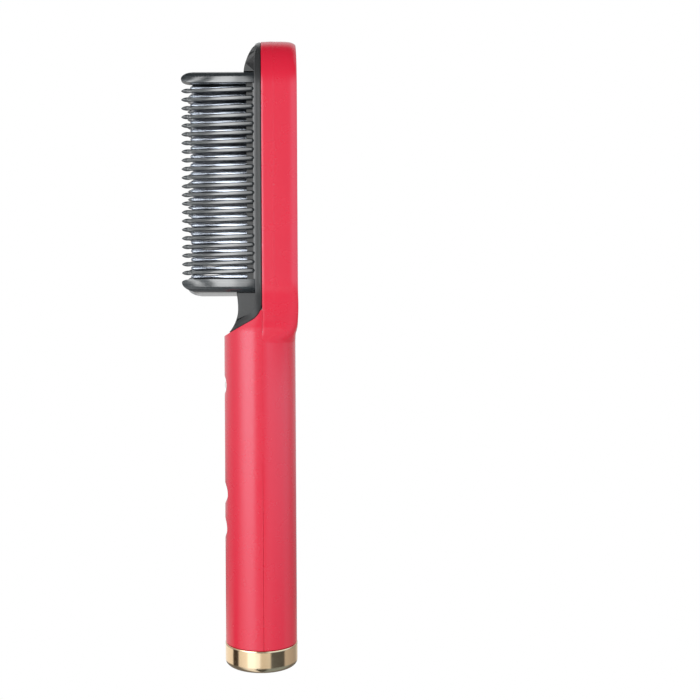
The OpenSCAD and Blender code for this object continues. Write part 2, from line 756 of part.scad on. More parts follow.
module temperature_sensor() color("#3b6fae") translate([sensor_x, sensor_y, comb_z]) sphere(r = sensor_r);

// From the circuit board up through the neck into the head
function lead_path(x, r) = [[x, board_back + r, board_z[1] - 2.4], [x, board_back + r, board_z[1] + 3],
    [x, 2, neck_z - 6], [x, 5, neck_z + 6], [x, 5, comb_z - heater_end - 10]];
module heater_leads() color("crimson") {
    wire(concat(lead_path(fuse_x, lead_r), [[fuse_x, fuse_y, comb_z - heater_end],
        [fuse_x, fuse_y, comb_z + 4]]), lead_r);
    wire(concat(lead_path(-2, lead_r), [[-2, heater_y + heater_t / 2, comb_z - heater_end - 2.5],
        [-2, heater_y + heater_t / 2, comb_z - heater_end]]), lead_r);
    for (s = [-1, 1]) let(x = sensor_x + s / 2)
        wire(concat(lead_path(sensor_x + s, signal_r), [[x, sensor_y, comb_z - 6],
            [x, sensor_y, comb_z - sensor_r - fit / 2]]), signal_r);
}

module main_board() color("darkgreen") difference() {
    translate([-board_x, board_y, board_z[0]])
        cube([2 * board_x, board_t, board_z[1] - board_z[0]]);
    for (sx = [-1, 1], z = board_post_z) translate([sx * board_post_x, 0, z]) bar_y(1.1, -10, 0);
}

module board_screws() color("silver") for (sx = [-1, 1], z = board_post_z)
    translate([sx * board_post_x, 0, z]) {
        bar_y(1.6, board_back, board_back + 1.2);
        bar_y(board_thread_r, board_y - 4, board_back + 0.5);
    }

module microcontroller() color("#1d1f21") translate([0, 0, plus_z + 8])
    along_y(board_back, board_back + 1.2) square(7, center = true);
module power_relay() color("#2b5f9e") translate([0, 0, lens_z + 2])
    along_y(board_back, board_back + 9) square([10, 13], center = true);
module supply_capacitor() color("#8a5a1f") translate([0, 0, minus_z - 2])
    bar_y(4.5, board_back, board_back + 10);

module indicator_lens() color("whitesmoke") intersection() {
    translate([0, 0, lens_z]) {
        along_y(-ry - 1, -ry + 3.5) round_bar(lens_w - 2 * fit, lens_l - 2 * fit, lens_w / 2 - fit);
        along_y(-ry + wall + 0.3, -ry + wall + 1.3)
            round_bar(lens_w + 2, lens_l + 2, lens_w / 2 + 1);
    }
    translate([0, 0, lens_z - lens_l]) linear_extrude(2 * lens_l) oval(rx - 0.03, ry - 0.03);
}

module indicator_leds() color("white") for (i = [0:led_n - 1])
    translate([0, 0, lens_z + (i - (led_n - 1) / 2) * (lens_l - 3) / (led_n - 1)])
        along_y(board_y - 0.8, board_y) square([1.6, 0.9], center = true);

module supply_leads() color("saddlebrown") for (s = [-1, 1])
    let(x = s * (tail_x + 0.5), top = block_z + block_h, y = board_back + lead_r)
        wire([[x, 0, top + 0.65], [x, 0, top + 6], [s * 5, 2, board_z[0] - 6],
            [s * 4, y, board_z[0] + 1], [s * 4, y, board_z[0] + 5]], lead_r);

front_housing();
rear_housing();
back_panel();
back_bezel();
end_cap();
cap_screws();
cord_swivel();
thrust_washer();
slip_rings();
contact_block();
brush_contacts();
comb_frame();
frame_seal();
frame_screws();
guard_comb();
heating_comb();
ptc_heaters();
insulation_sheet();
heater_clamp();
clamp_screws();
heat_shield();
thermal_fuse();
temperature_sensor();
heater_leads();
main_board();
board_screws();
microcontroller();
power_relay();
supply_capacitor();
tact_switches();
power_plunger();
plus_plunger();
minus_plunger();
power_button();
plus_button();
minus_button();
indicator_lens();
indicator_leds();
supply_leads();
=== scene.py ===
"""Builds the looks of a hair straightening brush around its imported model."""
from math import asin, cos, pi, radians, sin, sqrt, tan
from types import SimpleNamespace

import bmesh
import bpy
from mathutils import Euler, Matrix, Vector


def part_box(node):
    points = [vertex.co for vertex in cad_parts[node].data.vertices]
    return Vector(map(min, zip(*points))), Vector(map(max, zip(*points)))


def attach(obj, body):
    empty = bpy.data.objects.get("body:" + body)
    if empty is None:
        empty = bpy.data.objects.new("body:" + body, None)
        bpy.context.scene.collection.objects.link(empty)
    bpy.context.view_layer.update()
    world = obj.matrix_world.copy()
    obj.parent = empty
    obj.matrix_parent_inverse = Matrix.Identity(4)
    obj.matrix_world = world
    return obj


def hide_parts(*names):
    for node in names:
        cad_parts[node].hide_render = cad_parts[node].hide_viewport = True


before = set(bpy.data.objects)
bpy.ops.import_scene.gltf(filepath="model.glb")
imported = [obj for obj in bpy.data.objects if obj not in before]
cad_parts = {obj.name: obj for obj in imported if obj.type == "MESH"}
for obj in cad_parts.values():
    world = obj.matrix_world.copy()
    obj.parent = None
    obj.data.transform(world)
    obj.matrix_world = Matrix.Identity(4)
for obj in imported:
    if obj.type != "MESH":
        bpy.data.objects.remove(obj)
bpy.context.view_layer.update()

bl_info = {
    "name": "Hair Straightening Brush",
    "version": (1, 0, 0),
    "blender": (4, 5, 0),
    "location": "View3D > Sidebar > Brush",
    "description": "Makes the visible pieces of a heated hair straightening brush",
    "category": "Object",
}

MM = 0.001
BODY = "brush"
QUARTER = pi / 2
WIDE = 40  # half width in millimetres of a cutting tool that reaches past the brush on both sides


def span(node, axis):
    """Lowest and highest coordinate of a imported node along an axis, in metres."""
    low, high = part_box(node)
    return low[axis], high[axis]


def span_mm(node, axis):
    """The same in millimetres."""
    low, high = span(node, axis)
    return low / MM, high / MM


def extent(node, axis):
    """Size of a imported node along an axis, in metres."""
    low, high = span(node, axis)
    return high - low


# ---------------------------------------------------------------- sizes and colours

def linear(value):
    """A hex sRGB colour as linear red, green, blue and alpha; one that is linear already is kept."""
    if not isinstance(value, str):
        return (*value[:3], 1.0)
    parts = [int(value.lstrip("#")[i:i + 2], 16) / 255 for i in (0, 2, 4)]
    return tuple(c / 12.92 if c <= 0.04045 else ((c + 0.055) / 1.055) ** 2.4 for c in parts) + (1.0,)


def length(name, description, default):
    return bpy.props.FloatProperty(
        name=name, description=description, default=default, unit="LENGTH", precision=4)


def colour(name, description, default):
    return bpy.props.FloatVectorProperty(
        name=name, description=description, default=linear(default)[:3], subtype="COLOR", size=3, min=0, max=1)


class BrushSizes(bpy.types.PropertyGroup):
    """Sizes that shape the brush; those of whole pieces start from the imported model."""
    height: length("Height", "Height of the brush on its base", span("rear_housing", 2)[1])
    head_width: length("Head width", "Width of the pill-shaped head", 2 * span("rear_housing", 0)[1])
    head_straight: length("Head straight", "Distance between the centres of the head's round ends",
                          extent("back_panel", 2) - extent("back_panel", 0))
    head_back: length("Head back", "How far the head's back lies behind the handle's axis", 0.0187)
    handle_width: length("Handle width", "Width of the handle", 2 * (span("end_cap", 0)[1] - 0.0002))
    handle_front: length("Handle front", "Half depth of the handle", -span("front_housing", 1)[0])
    wall: length("Wall", "Wall of the plastic shells", 0.0022)
    parting: length("Parting plane", "How far the shells' seam lies behind the handle's axis", 0.0011)
    neck_radius: length("Neck radius", "Inside radius between head and handle", 0.009)
    shoulder_radius: length("Shoulder radius", "Hollow radius of the shoulder under the comb", 0.009)
    bezel_width: length("Bezel width", "Width of the bevelled bezel", 0.0049)
    rim_width: length("Rim width", "Width of the shell's rim outside the bezel", 0.0017)
    recess: length("Recess", "Depth of the recess for bezel and panel", 0.0028)
    tooth_diameter: length("Tooth diameter", "Diameter of a slim tooth", 0.0021)
    tooth_pitch: length("Tooth pitch", "Distance from tooth to tooth", 0.00388)
    fin_thickness: length("Fin thickness", "Thickness of a heated fin", 0.0019)
    edge: length("Edge rounding", "Rounding of moulded edges", 0.00028)
    tooth_count: bpy.props.IntProperty(name="Teeth", description="Slim teeth in each row", default=22, min=4)
    tooth_droop: bpy.props.FloatProperty(
        name="Tooth droop", description="How far the teeth lean down", default=radians(1.8), subtype="ANGLE")


class BrushColours(bpy.types.PropertyGroup):
    """Colours of the brush; the defaults are sRGB hex values, turned to linear."""
    shell: colour("Shell", "Coral red of the moulded shells", "#ec183a")
    panel: colour("Panel", "Red of the back panel", "#e31c33")
    trim: colour("Trim", "Pale gold of the plated trim", "#eed6b3")
    frame_grey: colour("Frame", "Dark grey of the comb's frame", "#38393a")
    comb_grey: colour("Comb", "Blue-grey of the comb guard", "#33383b")
    fins: colour("Fins", "Blue-silver coat of the heated fins", "#8d939d")
    key_white: colour("Key", "White of the round key", "#efeeee")


def shape():
    """The brush's sizes in millimetres, with what follows from them."""
    p = bpy.context.scene.brush_sizes
    s = SimpleNamespace(**{k: getattr(p, k) / MM for k in (
        "height", "head_width", "head_straight", "head_back", "handle_width", "handle_front", "wall", "parting",
        "neck_radius", "shoulder_radius", "bezel_width", "rim_width", "recess", "tooth_diameter",
        "tooth_pitch", "fin_thickness", "edge")})
    s.fit, s.sink = 0.1, 0.05
    s.rx, s.ry = s.handle_width / 2, s.handle_front
    s.head_r = s.head_width / 2
    s.top_c = s.height - s.head_r
    s.low_c = s.top_c - s.head_straight
    s.body_z = span_mm("end_cap", 2)[1] + s.fit
    s.neck_x = s.rx + s.neck_radius
    s.neck_z = s.low_c - sqrt((s.head_r + s.neck_radius) ** 2 - s.neck_x ** 2)
    s.join_z = s.low_c - (s.low_c - s.neck_z) * s.head_r / (s.head_r + s.neck_radius)
    s.blend_z, s.blend_end = s.neck_z - 5, s.neck_z + 6
    s.ease_z, s.ease_r, s.square_n, s.crease_y = s.low_c - 9.7, 50, 9.3, 6.4
    s.shoulder_z, s.arc_y, s.arc_turn = s.low_c - 10.4, s.parting - s.shoulder_radius, radians(62)
    s.recess_y = s.head_back - s.recess
    s.tray_floor = s.recess_y - s.wall
    s.seal, s.frame_t, s.rim_in = 0.35, 2.65, 0.35
    s.frame_back = s.parting - s.seal
    s.ledge_y = s.frame_back - s.frame_t
    low, high = span_mm("guard_comb", 2)
    s.comb_z, s.wall_out = (low + high) / 2, (high - low) / 2
    s.tooth_reach = -span_mm("guard_comb", 1)[0]
    s.row_x = span_mm("guard_comb", 0)[1] - s.tooth_diameter / 2
    s.half_comb = (p.tooth_count - 1) / 2 * s.tooth_pitch
    s.ridge = s.half_comb + 4.7
    s.wall_in = s.ridge - 1.4
    s.fin_reach = -span_mm("heating_comb", 1)[0]
    s.plate_x, s.fin_w = span_mm("heating_comb", 0)[1], 31
    s.block_x, s.block_y, s.skin = s.plate_x + 1, -5.5, 1.1
    s.plate_y, s.root_y = s.block_y + s.skin + s.fit, s.ledge_y - s.sink
    s.seat_y, s.key_flange, s.power_lip = -(s.ry - s.wall) + 2.4, 1.0, 0.8
    s.pocket_dz = s.half_comb + 3.9
    s.block_dz = s.pocket_dz + 3.4
    return s


# ---------------------------------------------------------------- outline rules

def half_width(s, z, inset=0.0):
    """Half width of the whole outline at height z, drawn in by inset."""
    if z >= s.top_c:
        return sqrt(max(0, (s.head_r - inset) ** 2 - (z - s.top_c) ** 2))
    if z >= s.low_c:
        return s.head_r - inset
    if z >= s.join_z:
        return sqrt(s.head_r ** 2 - (s.low_c - z) ** 2) - inset
    if z >= s.neck_z:
        return s.neck_x - sqrt(s.neck_radius ** 2 - (z - s.neck_z) ** 2) - inset
    return s.rx - inset


def squareness(s, z):
    u = min(1, max(0, (z - s.blend_z) / (s.blend_end - s.blend_z)))
    return u * u * (3 - 2 * u)


def back_depth(s, z):
    return s.head_back if z >= s.ease_z else max(s.ry, s.head_back - (s.ease_z - z) ** 2 / (2 * s.ease_r))


def spaced(a, b, n):
    return [a + (b - a) * i / n for i in range(n + 1)]


def rear_profile(s, z, inset, depth, y0, steps=32, edge=0.0):
    """Half of a rear section as (distance from the middle, y), from the seam to the middle of the back.

    On the head a fine step, crease_y behind the handle's axis, parts two flanks that lean in from it."""
    square = squareness(s, z)
    n = 2 + (s.square_n - 2) * square
    w = half_width(s, z, inset)
    points = [(w - edge, y0), (w - edge * 0.3, y0 + edge * 0.3)] if edge else []
    y0, y1 = y0 + edge, 0.6 * depth
    for f in (0, 0.12, 0.25, 0.38, 0.45, 0.49, 0.505, 0.525, 0.54, 0.6, 0.7, 0.85):
        y = y0 + (y1 - y0) * f
        points.append((w * (1 - (y / depth) ** n) ** (1 / n), y))
    for a in spaced(asin(0.6 ** (n / 2)), QUARTER, steps):
        points.append((w * abs(cos(a)) ** (2 / n), depth * sin(a) ** (2 / n)))
    points[-1] = (0.0, depth)
    if inset:
        return points
    lean = [0.03 * (s.crease_y - y) if y < s.crease_y else 0.07 + 0.01 * (y - s.crease_y) for _, y in points]
    return [(max(0.0, u - square * d * min(1.0, u / 10)), y) for (u, y), d in zip(points, lean)]


def seam_edge(s, z):
    """The seam's rounding: wide round the head, closed under the neck, an open groove down the handle."""
    if z > s.neck_z:
        return s.edge
    return s.edge * (0.05 + 1.25 * min(1, max(0, (105 - z) / 30)))


def both_sides(half, place):
    """A full section from its half: the right side, then the left one back again."""
    return [place(u, y, 1) for u, y in half] + [place(u, y, -1) for u, y in reversed(half[:-1])]


def level(z):
    return lambda u, y, side: (side * u, y, z)


def turned(s, angle):
    return lambda u, y, side: (side * u * cos(angle), y, s.top_c + u * sin(angle))


def front_profile(s, z, inset, y0, steps=40, edge=0.0):
    """Half of a front section, from the seam round to the middle of the front."""
    w, d = half_width(s, z, inset), s.ry - inset
    points = [(max(0, w - edge), y0), (max(0, w - edge * 0.3), y0 - edge * 0.3)] if edge else []
    a0 = -asin((y0 - edge) / d)
    points += [(w * cos(a), -d * sin(a)) for a in spaced(a0, QUARTER, steps)]
    points[-1] = (0.0, -d)
    return points


def shoulder_outline(s, o, low_y=None):
    """Side-view region in front of the shoulder's curve, set off from it by o."""
    r = s.shoulder_radius - o
    end_y, end_z = s.arc_y + r * cos(s.arc_turn), s.shoulder_z - r * sin(s.arc_turn)
    low_y = -s.ry - 3 if low_y is None else low_y
    slope = tan(QUARTER - s.arc_turn)
    return ([(s.parting - o, s.height + 5)]
            + [(s.arc_y + r * cos(a), s.shoulder_z - r * sin(a)) for a in spaced(0, s.arc_turn, 28)]
            + [(low_y, end_z - (end_y - low_y) * slope), (low_y, s.height + 5)])


def pill(s, inset, steps=48):
    """Points and outward normals along the head's pill outline, drawn in by inset."""
    r = s.head_r - inset
    arcs = [(s.top_c, a) for a in spaced(0, pi, steps)] + [(s.low_c, a) for a in spaced(pi, 2 * pi, steps)]
    return [((r * cos(a), c + r * sin(a)), (cos(a), sin(a))) for c, a in arcs]


def ellipse(a, b, steps=96):
    return [(a * cos(t), b * sin(t)) for t in spaced(0, 2 * pi, steps)[:-1]]


# ---------------------------------------------------------------- mesh helpers

def new_object(name, verts, faces):
    """A mesh object from millimetre points, at the origin, with its place in its mesh."""
    mesh = bpy.data.meshes.new(name)
    mesh.from_pydata([tuple(c * MM for c in v) for v in verts], [], faces)
    obj = bpy.data.objects.new(name, mesh)
    bpy.context.scene.collection.objects.link(obj)
    return obj


def clean(obj, distance=0.002):
    """Merges doubled points and turns every face outwards."""
    mesh = bmesh.new()
    mesh.from_mesh(obj.data)
    bmesh.ops.remove_doubles(mesh, verts=mesh.verts, dist=distance * MM)
    bmesh.ops.recalc_face_normals(mesh, faces=mesh.faces)
    mesh.to_mesh(obj.data)
    mesh.free()
    return obj


def loft(name, sections, end=True):
    """A solid through closed sections; an end that folds shut needs no cap."""
    m = len(sections[0])
    verts = [v for section in sections for v in section]
    faces = [(i * m + j, i * m + (j + 1) % m, (i + 1) * m + (j + 1) % m, (i + 1) * m + j)
             for i in range(len(sections) - 1) for j in range(m)]
    faces.append(tuple(reversed(range(m))))
    if end:
        faces.append(tuple(range(len(verts) - m, len(verts))))
    return clean(new_object(name, verts, faces))


def ring_loft(name, sections):
    """A closed ring through sections, the last joined to the first."""
    m, n = len(sections[0]), len(sections)
    verts = [v for section in sections for v in section]
    faces = [(i * m + j, i * m + (j + 1) % m, (i + 1) % n * m + (j + 1) % m, (i + 1) % n * m + j)
             for i in range(n) for j in range(m)]
    return clean(new_object(name, verts, faces))


PLACE = {"x": lambda u, v, w: (w, u, v), "y": lambda u, v, w: (u, w, v), "z": lambda u, v, w: (u, v, w)}


def prism(name, outline, axis, low, high, shift=(0, 0)):
    """An outline drawn out along an axis, from low to high."""
    place = PLACE[axis]
    return loft(name, [[place(u + shift[0], v + shift[1], w) for u, v in outline] for w in (low, high)])


def lathe(name, profile, axis, centre=(0, 0), steps=64):
    """A profile of (radius, distance along the axis) turned round that axis."""
    place = PLACE[axis]
    sections = [[place(centre[0] + r * cos(a), centre[1] + r * sin(a), h) for r, h in profile]
                for a in spaced(0, 2 * pi, steps)[:-1]]
    return ring_loft(name, sections)


def bake(obj):
    """Turns what an object's modifiers give into its own plain mesh."""
    graph = bpy.context.evaluated_depsgraph_get()
    graph.update()
    mesh = bpy.data.meshes.new_from_object(obj.evaluated_get(graph), depsgraph=graph)
    obj.modifiers.clear()
    obj.data = mesh
    return obj


def combine(obj, how, *others):
    """Joins, cuts or overlaps an object with others, which are used up."""
    for other in others:
        step = obj.modifiers.new(how, "BOOLEAN")
        step.operation, step.solver, step.object = how, "MANIFOLD", other
    bake(obj)
    for other in others:
        bpy.data.objects.remove(other)
    return obj


def bevel(obj, width, segments=2, angle=35):
    step = obj.modifiers.new("Edges", "BEVEL")
    step.width, step.segments, step.limit_method = width * MM, segments, "ANGLE"
    step.angle_limit, step.harden_normals = radians(angle), False
    return bake(obj)


def join(name, *parts):
    """One object from several, which are used up."""
    mesh = bmesh.new()
    for part in parts:
        mesh.from_mesh(part.data)
        bpy.data.objects.remove(part)
    obj = new_object(name, [], [])
    mesh.to_mesh(obj.data)
    mesh.free()
    return obj


def finish(obj, material, body, slot, *nodes, sharp=32):
    """Shades a piece, gives it its finish, hides the imported nodes it stands for and hangs it under its body.
    """
    for face in obj.data.polygons:
        face.use_smooth = True
    obj.data.set_sharp_from_angle(angle=radians(sharp))
    obj.data.materials.clear()
    obj.data.materials.append(material)
    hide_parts(*nodes)
    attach(obj, body)
    return obj


# ---------------------------------------------------------------- materials

def add_node(tree, kind, settings=(), values=(), links=()):
    """Adds a node, sets its properties and socket values, and links sockets to it."""
    made = tree.nodes.new(kind)
    for key, value in dict(settings).items():
        setattr(made, key, value)
    for key, value in dict(values).items():
        made.inputs[key].default_value = value
    for key, source in dict(links).items():
        tree.links.new(source, made.inputs[key])
    return made


def finish_base(name, tone, values):
    """A new material with its main shader; the caller adds its detail."""
    material = bpy.data.materials.new(name)
    material.use_nodes = True
    tree = material.node_tree
    tree.nodes.clear()
    shader = add_node(tree, "ShaderNodeBsdfPrincipled", values={"Base Color": linear(tone), **values})
    add_node(tree, "ShaderNodeOutputMaterial", links={"Surface": shader.outputs[0]})
    return material, tree, shader


def grain(tree, shader, size_mm, height_mm, detail=3.0):
    """Fine bumps of a moulded or cast skin, size_mm across and height_mm deep; gives its coordinates."""
    coords = add_node(tree, "ShaderNodeTexCoord")
    noise = add_node(tree, "ShaderNodeTexNoise", values={"Scale": 1 / (size_mm * MM), "Detail": detail},
                     links={"Vector": coords.outputs["Object"]})
    bump = add_node(tree, "ShaderNodeBump", values={"Strength": 1.0, "Distance": height_mm * MM},
                    links={"Height": noise.outputs["Fac"]})
    tree.links.new(bump.outputs["Normal"], shader.inputs["Normal"])
    return coords


def drift(tree, shader, coords, first, second, size_mm):
    """Slow colour drift between two close tones, size_mm across."""
    noise = add_node(tree, "ShaderNodeTexNoise", values={"Scale": 1 / (size_mm * MM), "Detail": 2.0},
                     links={"Vector": coords.outputs["Object"]})
    mix = add_node(tree, "ShaderNodeMix", settings={"data_type": "RGBA"},
                   links={"Factor": noise.outputs["Fac"]})
    for key, value in (("A", first), ("B", second)):
        next(i for i in mix.inputs if i.name == key and i.type == "RGBA").default_value = linear(value)
    tree.links.new(next(o for o in mix.outputs if o.type == "RGBA"), shader.inputs["Base Color"])


def rough_drift(tree, shader, coords, low, high, size_mm):
    """Roughness that wanders between two values, as handled or polished surfaces do."""
    noise = add_node(tree, "ShaderNodeTexNoise", values={"Scale": 1 / (size_mm * MM), "Detail": 4.0},
                     links={"Vector": coords.outputs["Object"]})
    spread = add_node(tree, "ShaderNodeMapRange", values={"To Min": low, "To Max": high},
                      links={"Value": noise.outputs["Fac"]})
    tree.links.new(spread.outputs["Result"], shader.inputs["Roughness"])


def shade(value, factor):
    """A colour made lighter or darker, by a factor of its sRGB value."""
    return [min(1.0, c * factor ** 2.2) for c in linear(value)[:3]]


def satin_abs(name, tone, roughness=0.27, lustre=1.0, grain_mm=0.5):
    """Injection-moulded ABS under a satin lacquer: broad soft highlights, a hint of orange peel."""
    material, tree, shader = finish_base(name, tone, {"Roughness": roughness, "IOR": 1.5,
                                         "Specular IOR Level": lustre, "Specular Tint": (0.1, 1.0, 1.1, 1.0)})
    coords = grain(tree, shader, grain_mm, 0.0025)
    drift(tree, shader, coords, shade(tone, 0.985), shade(tone, 1.015), 30)
    rough_drift(tree, shader, coords, roughness - 0.03, roughness + 0.03, 9)
    return material


def plated_abs(name, tone):
    """Electroplated ABS in pale champagne gold: a mirror skin with faint ripples from the moulding below."""
    material, tree, shader = finish_base(name, tone, {"Metallic": 1.0, "Roughness": 0.13})
    coords = grain(tree, shader, 6.0, 0.004, 1.0)
    rough_drift(tree, shader, coords, 0.11, 0.16, 5)
    return material


def filled_nylon(name, tone, roughness, lustre=0.5, grain_um=2.0):
    """Glass-filled nylon or PPS, moulded dark: its fibres give a fine mottle; lustre is its specular level."""
    material, tree, shader = finish_base(name, tone, {"Roughness": roughness, "IOR": 1.55,
                                         "Specular IOR Level": lustre})
    coords = grain(tree, shader, 0.35, grain_um * MM)
    drift(tree, shader, coords, shade(tone, 0.93), shade(tone, 1.07), 0.8)
    return material


def coated_aluminium(name, tone):
    """Die-cast aluminium under a thin ceramic coat: satin metal, fine cast grain, blue-grey tone."""
    material, tree, shader = finish_base(name, tone, {"Metallic": 0.85, "Roughness": 0.24})
    coords = grain(tree, shader, 0.25, 0.003)
    drift(tree, shader, coords, shade(tone, 0.94), shade(tone, 1.06), 4)
    rough_drift(tree, shader, coords, 0.2, 0.28, 2)
    return material


def plain_finish(name, tone, roughness, metallic=0.0, grain_mm=0.4, **extra):
    """A simple moulded, drawn or stamped skin for the small inner pieces, with fine grain."""
    material, tree, shader = finish_base(name, tone, {"Roughness": roughness, "Metallic": metallic, **extra})
    coords = grain(tree, shader, grain_mm, 0.003)
    drift(tree, shader, coords, shade(tone, 0.95), shade(tone, 1.05), 2.5)
    return material


# ---------------------------------------------------------------- copies in a row

def copies_tree():
    """Node tree that stands copies of a piece in rows: every size of the pattern is an input."""
    tree = bpy.data.node_groups.new("Copies in rows", "GeometryNodeTree")
    face = tree.interface
    face.new_socket("Geometry", in_out="OUTPUT", socket_type="NodeSocketGeometry")
    for name, kind in (("Piece", "NodeSocketObject"), ("Count", "NodeSocketInt"), ("Pitch", "NodeSocketFloat"),
                       ("Rows", "NodeSocketInt"), ("Row distance", "NodeSocketFloat"),
                       ("Start", "NodeSocketVector"), ("Tilt", "NodeSocketRotation"),
                       ("Material", "NodeSocketMaterial")):
        face.new_socket(name, in_out="INPUT", socket_type=kind)
    given = add_node(tree, "NodeGroupInput").outputs
    row_step = add_node(tree, "ShaderNodeCombineXYZ", links={"X": given["Row distance"]})
    step = add_node(tree, "ShaderNodeCombineXYZ", links={"Z": given["Pitch"]})
    rows = add_node(tree, "GeometryNodeMeshLine", links={
        "Count": given["Rows"], "Start Location": given["Start"], "Offset": row_step.outputs[0]})
    line = add_node(tree, "GeometryNodeMeshLine", links={"Count": given["Count"], "Offset": step.outputs[0]})
    grid = add_node(tree, "GeometryNodeInstanceOnPoints", links={
        "Points": rows.outputs[0], "Instance": line.outputs[0]})
    points = add_node(tree, "GeometryNodeRealizeInstances", links={"Geometry": grid.outputs[0]})
    piece = add_node(tree, "GeometryNodeObjectInfo", links={"Object": given["Piece"]})
    copies = add_node(tree, "GeometryNodeInstanceOnPoints", links={
        "Points": points.outputs[0], "Instance": piece.outputs["Geometry"], "Rotation": given["Tilt"]})
    real = add_node(tree, "GeometryNodeRealizeInstances", links={"Geometry": copies.outputs[0]})
    painted = add_node(tree, "GeometryNodeSetMaterial", links={
        "Geometry": real.outputs[0], "Material": given["Material"]})
    add_node(tree, "NodeGroupOutput", links={"Geometry": painted.outputs[0]})
    return tree


def copies(name, piece, material, count, pitch, start, rows=1, row_distance=0.0, tilt=(0, 0, 0)):
    """Copies of a piece, which is used up, as one plain mesh; places in millimetres."""
    tree = bpy.data.node_groups.get("Copies in rows") or copies_tree()
    obj = new_object(name, [], [])
    step = obj.modifiers.new("Copies", "NODES")
    step.node_group = tree
    ids = {item.name: item.identifier for item in tree.interface.items_tree if item.in_out == "INPUT"}
    for key, value in (("Piece", piece), ("Count", count), ("Pitch", pitch * MM), ("Rows", rows),
                       ("Row distance", row_distance * MM), ("Start", [c * MM for c in start]),
                       ("Tilt", list(tilt)), ("Material", material)):
        step[ids[key]] = value
    bake(obj)
    bpy.data.objects.remove(piece)
    return obj


# ---------------------------------------------------------------- pieces

def rear_solid(s, inset, depth, y0):
    """The rear shell's outer form, or its inner one where it is inset, as a solid."""
    first = s.body_z - (1 if inset else 0)
    heights = spaced(first, s.blend_z, 6) + spaced(s.blend_z, s.low_c, 44)[1:] + spaced(s.low_c, s.top_c, 6)[1:]
    edges = [0 if inset else seam_edge(s, z) for z in heights]
    sections = [both_sides(rear_profile(s, z, inset, depth(z), y0, edge=e), level(z))
                for z, e in zip(heights, edges)]
    if not inset:  # a small round at the foot, above the cap
        foot = [(max(0, u - s.edge), y) for u, y in rear_profile(s, first, 0, s.ry - s.edge, y0, edge=edges[0])]
        sections[0] = both_sides(foot, level(first))
        above = rear_profile(s, first, 0, s.ry, y0, edge=edges[0])
        sections.insert(1, both_sides(above, level(first + s.edge)))
    rim = rear_profile(s, s.top_c, inset, depth(s.top_c), y0, edge=edges[-1])
    sections += [both_sides(rim, turned(s, a)) for a in spaced(0, QUARTER, 40)[1:]]
    return loft("rear form", sections, end=False)


def rear_shell(s, material):
    def cavity_depth(z):
        return s.ry - s.wall + (s.tray_floor - s.ry + s.wall) * squareness(s, z)

    shell = rear_solid(s, 0, lambda z: back_depth(s, z), s.parting)
    hollow = rear_solid(s, s.wall, cavity_depth, 0.01)
    mouth = prism("mouth", [(x, z) for (x, z), _ in pill(s, s.wall)], "y", 0.0, s.parting + 2)
    neck = prism("neck mouth", [(-s.rx + s.wall, s.body_z - 1), (s.rx - s.wall, s.body_z - 1),
                                (s.rx - s.wall, s.low_c - 10), (-s.rx + s.wall, s.low_c - 10)],
                 "y", 0.0, s.parting + 2)
    recess = prism("recess", [p for p, _ in pill(s, s.rim_width - 0.05, 72)], "y", s.recess_y, s.head_back + 2)
    combine(shell, "DIFFERENCE", hollow, mouth, neck, recess)
    shell.name = "rear_shell"
    return finish(shell, material, BODY, "red_shell", "rear_housing")


def front_solid(s, heights, inset, y0, edge=0.0, fold=False):
    sections = [both_sides(front_profile(s, z, inset, y0, edge=edge), level(z)) for z in heights]
    return loft("front form", sections, end=not fold)


def key_data():
    """Each key: height, half width and half height of its dish, the dish's depth, half sizes of its opening."""
    found = {}
    dishes = (("power", 6.4, 4.4, 1.1), ("plus", 7.2, 5.15, 1.4), ("minus", 6.1, 4.7, 1.0))
    for name, wide, high, deep in dishes:
        low, top = span_mm(f"{name}_button", 2)
        found[name] = SimpleNamespace(z=(low + top) / 2, wide=wide, high=high, deep=deep,
                                      r=(high ** 2 + deep ** 2) / (2 * deep), gap=0.2, margin=0.8)
    return found


def dish(s, key):
    """The round tool that hollows a key and the shell round it."""
    return prism("dish", ellipse(key.r, key.r, 320), "x", -3 * key.wide / 2, 3 * key.wide / 2,
                 shift=(key.deep - s.ry - key.r, key.z))


def front_shell(s, material):
    keys = key_data()
    top = s.shoulder_z - 3.5
    heights = spaced(s.body_z + s.edge, s.neck_z - 2, 10) + spaced(s.neck_z - 2, top, 14)[1:]
    rings = [(s.body_z, s.edge)] + [(z, 0) for z in heights]
    sections = [both_sides(front_profile(s, z, inset, s.parting, edge=seam_edge(s, z)), level(z))
                for z, inset in rings]
    shell = loft("front_shell", sections)
    hollow = front_solid(s, spaced(s.body_z - 1, s.neck_z - 2, 4) + spaced(s.neck_z - 2, top + 1, 14)[1:],
                         s.wall, s.parting + 1)
    combine(hollow, "DIFFERENCE", prism("above", shoulder_outline(s, -s.wall), "x", -WIDE, WIDE))
    through = (-s.ry - 2, -s.ry + 6)
    tools = [hollow, prism("shoulder", shoulder_outline(s, 0), "x", -WIDE, WIDE)]
    for key in keys.values():
        tools.append(dish(s, key))
    for key in (keys["plus"], keys["minus"]):
        tools.append(prism("opening", ellipse(key.wide - key.margin, key.high - key.margin), "y", *through,
                           shift=(0, key.z)))
    r = span_mm("power_button", 0)[1] - s.power_lip + keys["power"].gap
    tools.append(prism("opening", ellipse(r, r), "y", *through, shift=(0, keys["power"].z)))
    low, high = span_mm("indicator_lens", 2)
    tools.append(prism("slot", stadium(2.4, 14), "y", *through, shift=(0, (low + high) / 2)))
    combine(shell, "DIFFERENCE", *tools)
    return finish(shell, material, BODY, "red_shell", "front_housing")


def stadium(wide, tall, steps=16):
    """Outline of a bar with round ends, standing up."""
    r = wide / 2
    return ([(r * cos(a), (tall / 2 - r) + r * sin(a)) for a in spaced(0, pi, steps)]
            + [(r * cos(a), -(tall / 2 - r) + r * sin(a)) for a in spaced(pi, 2 * pi, steps)])


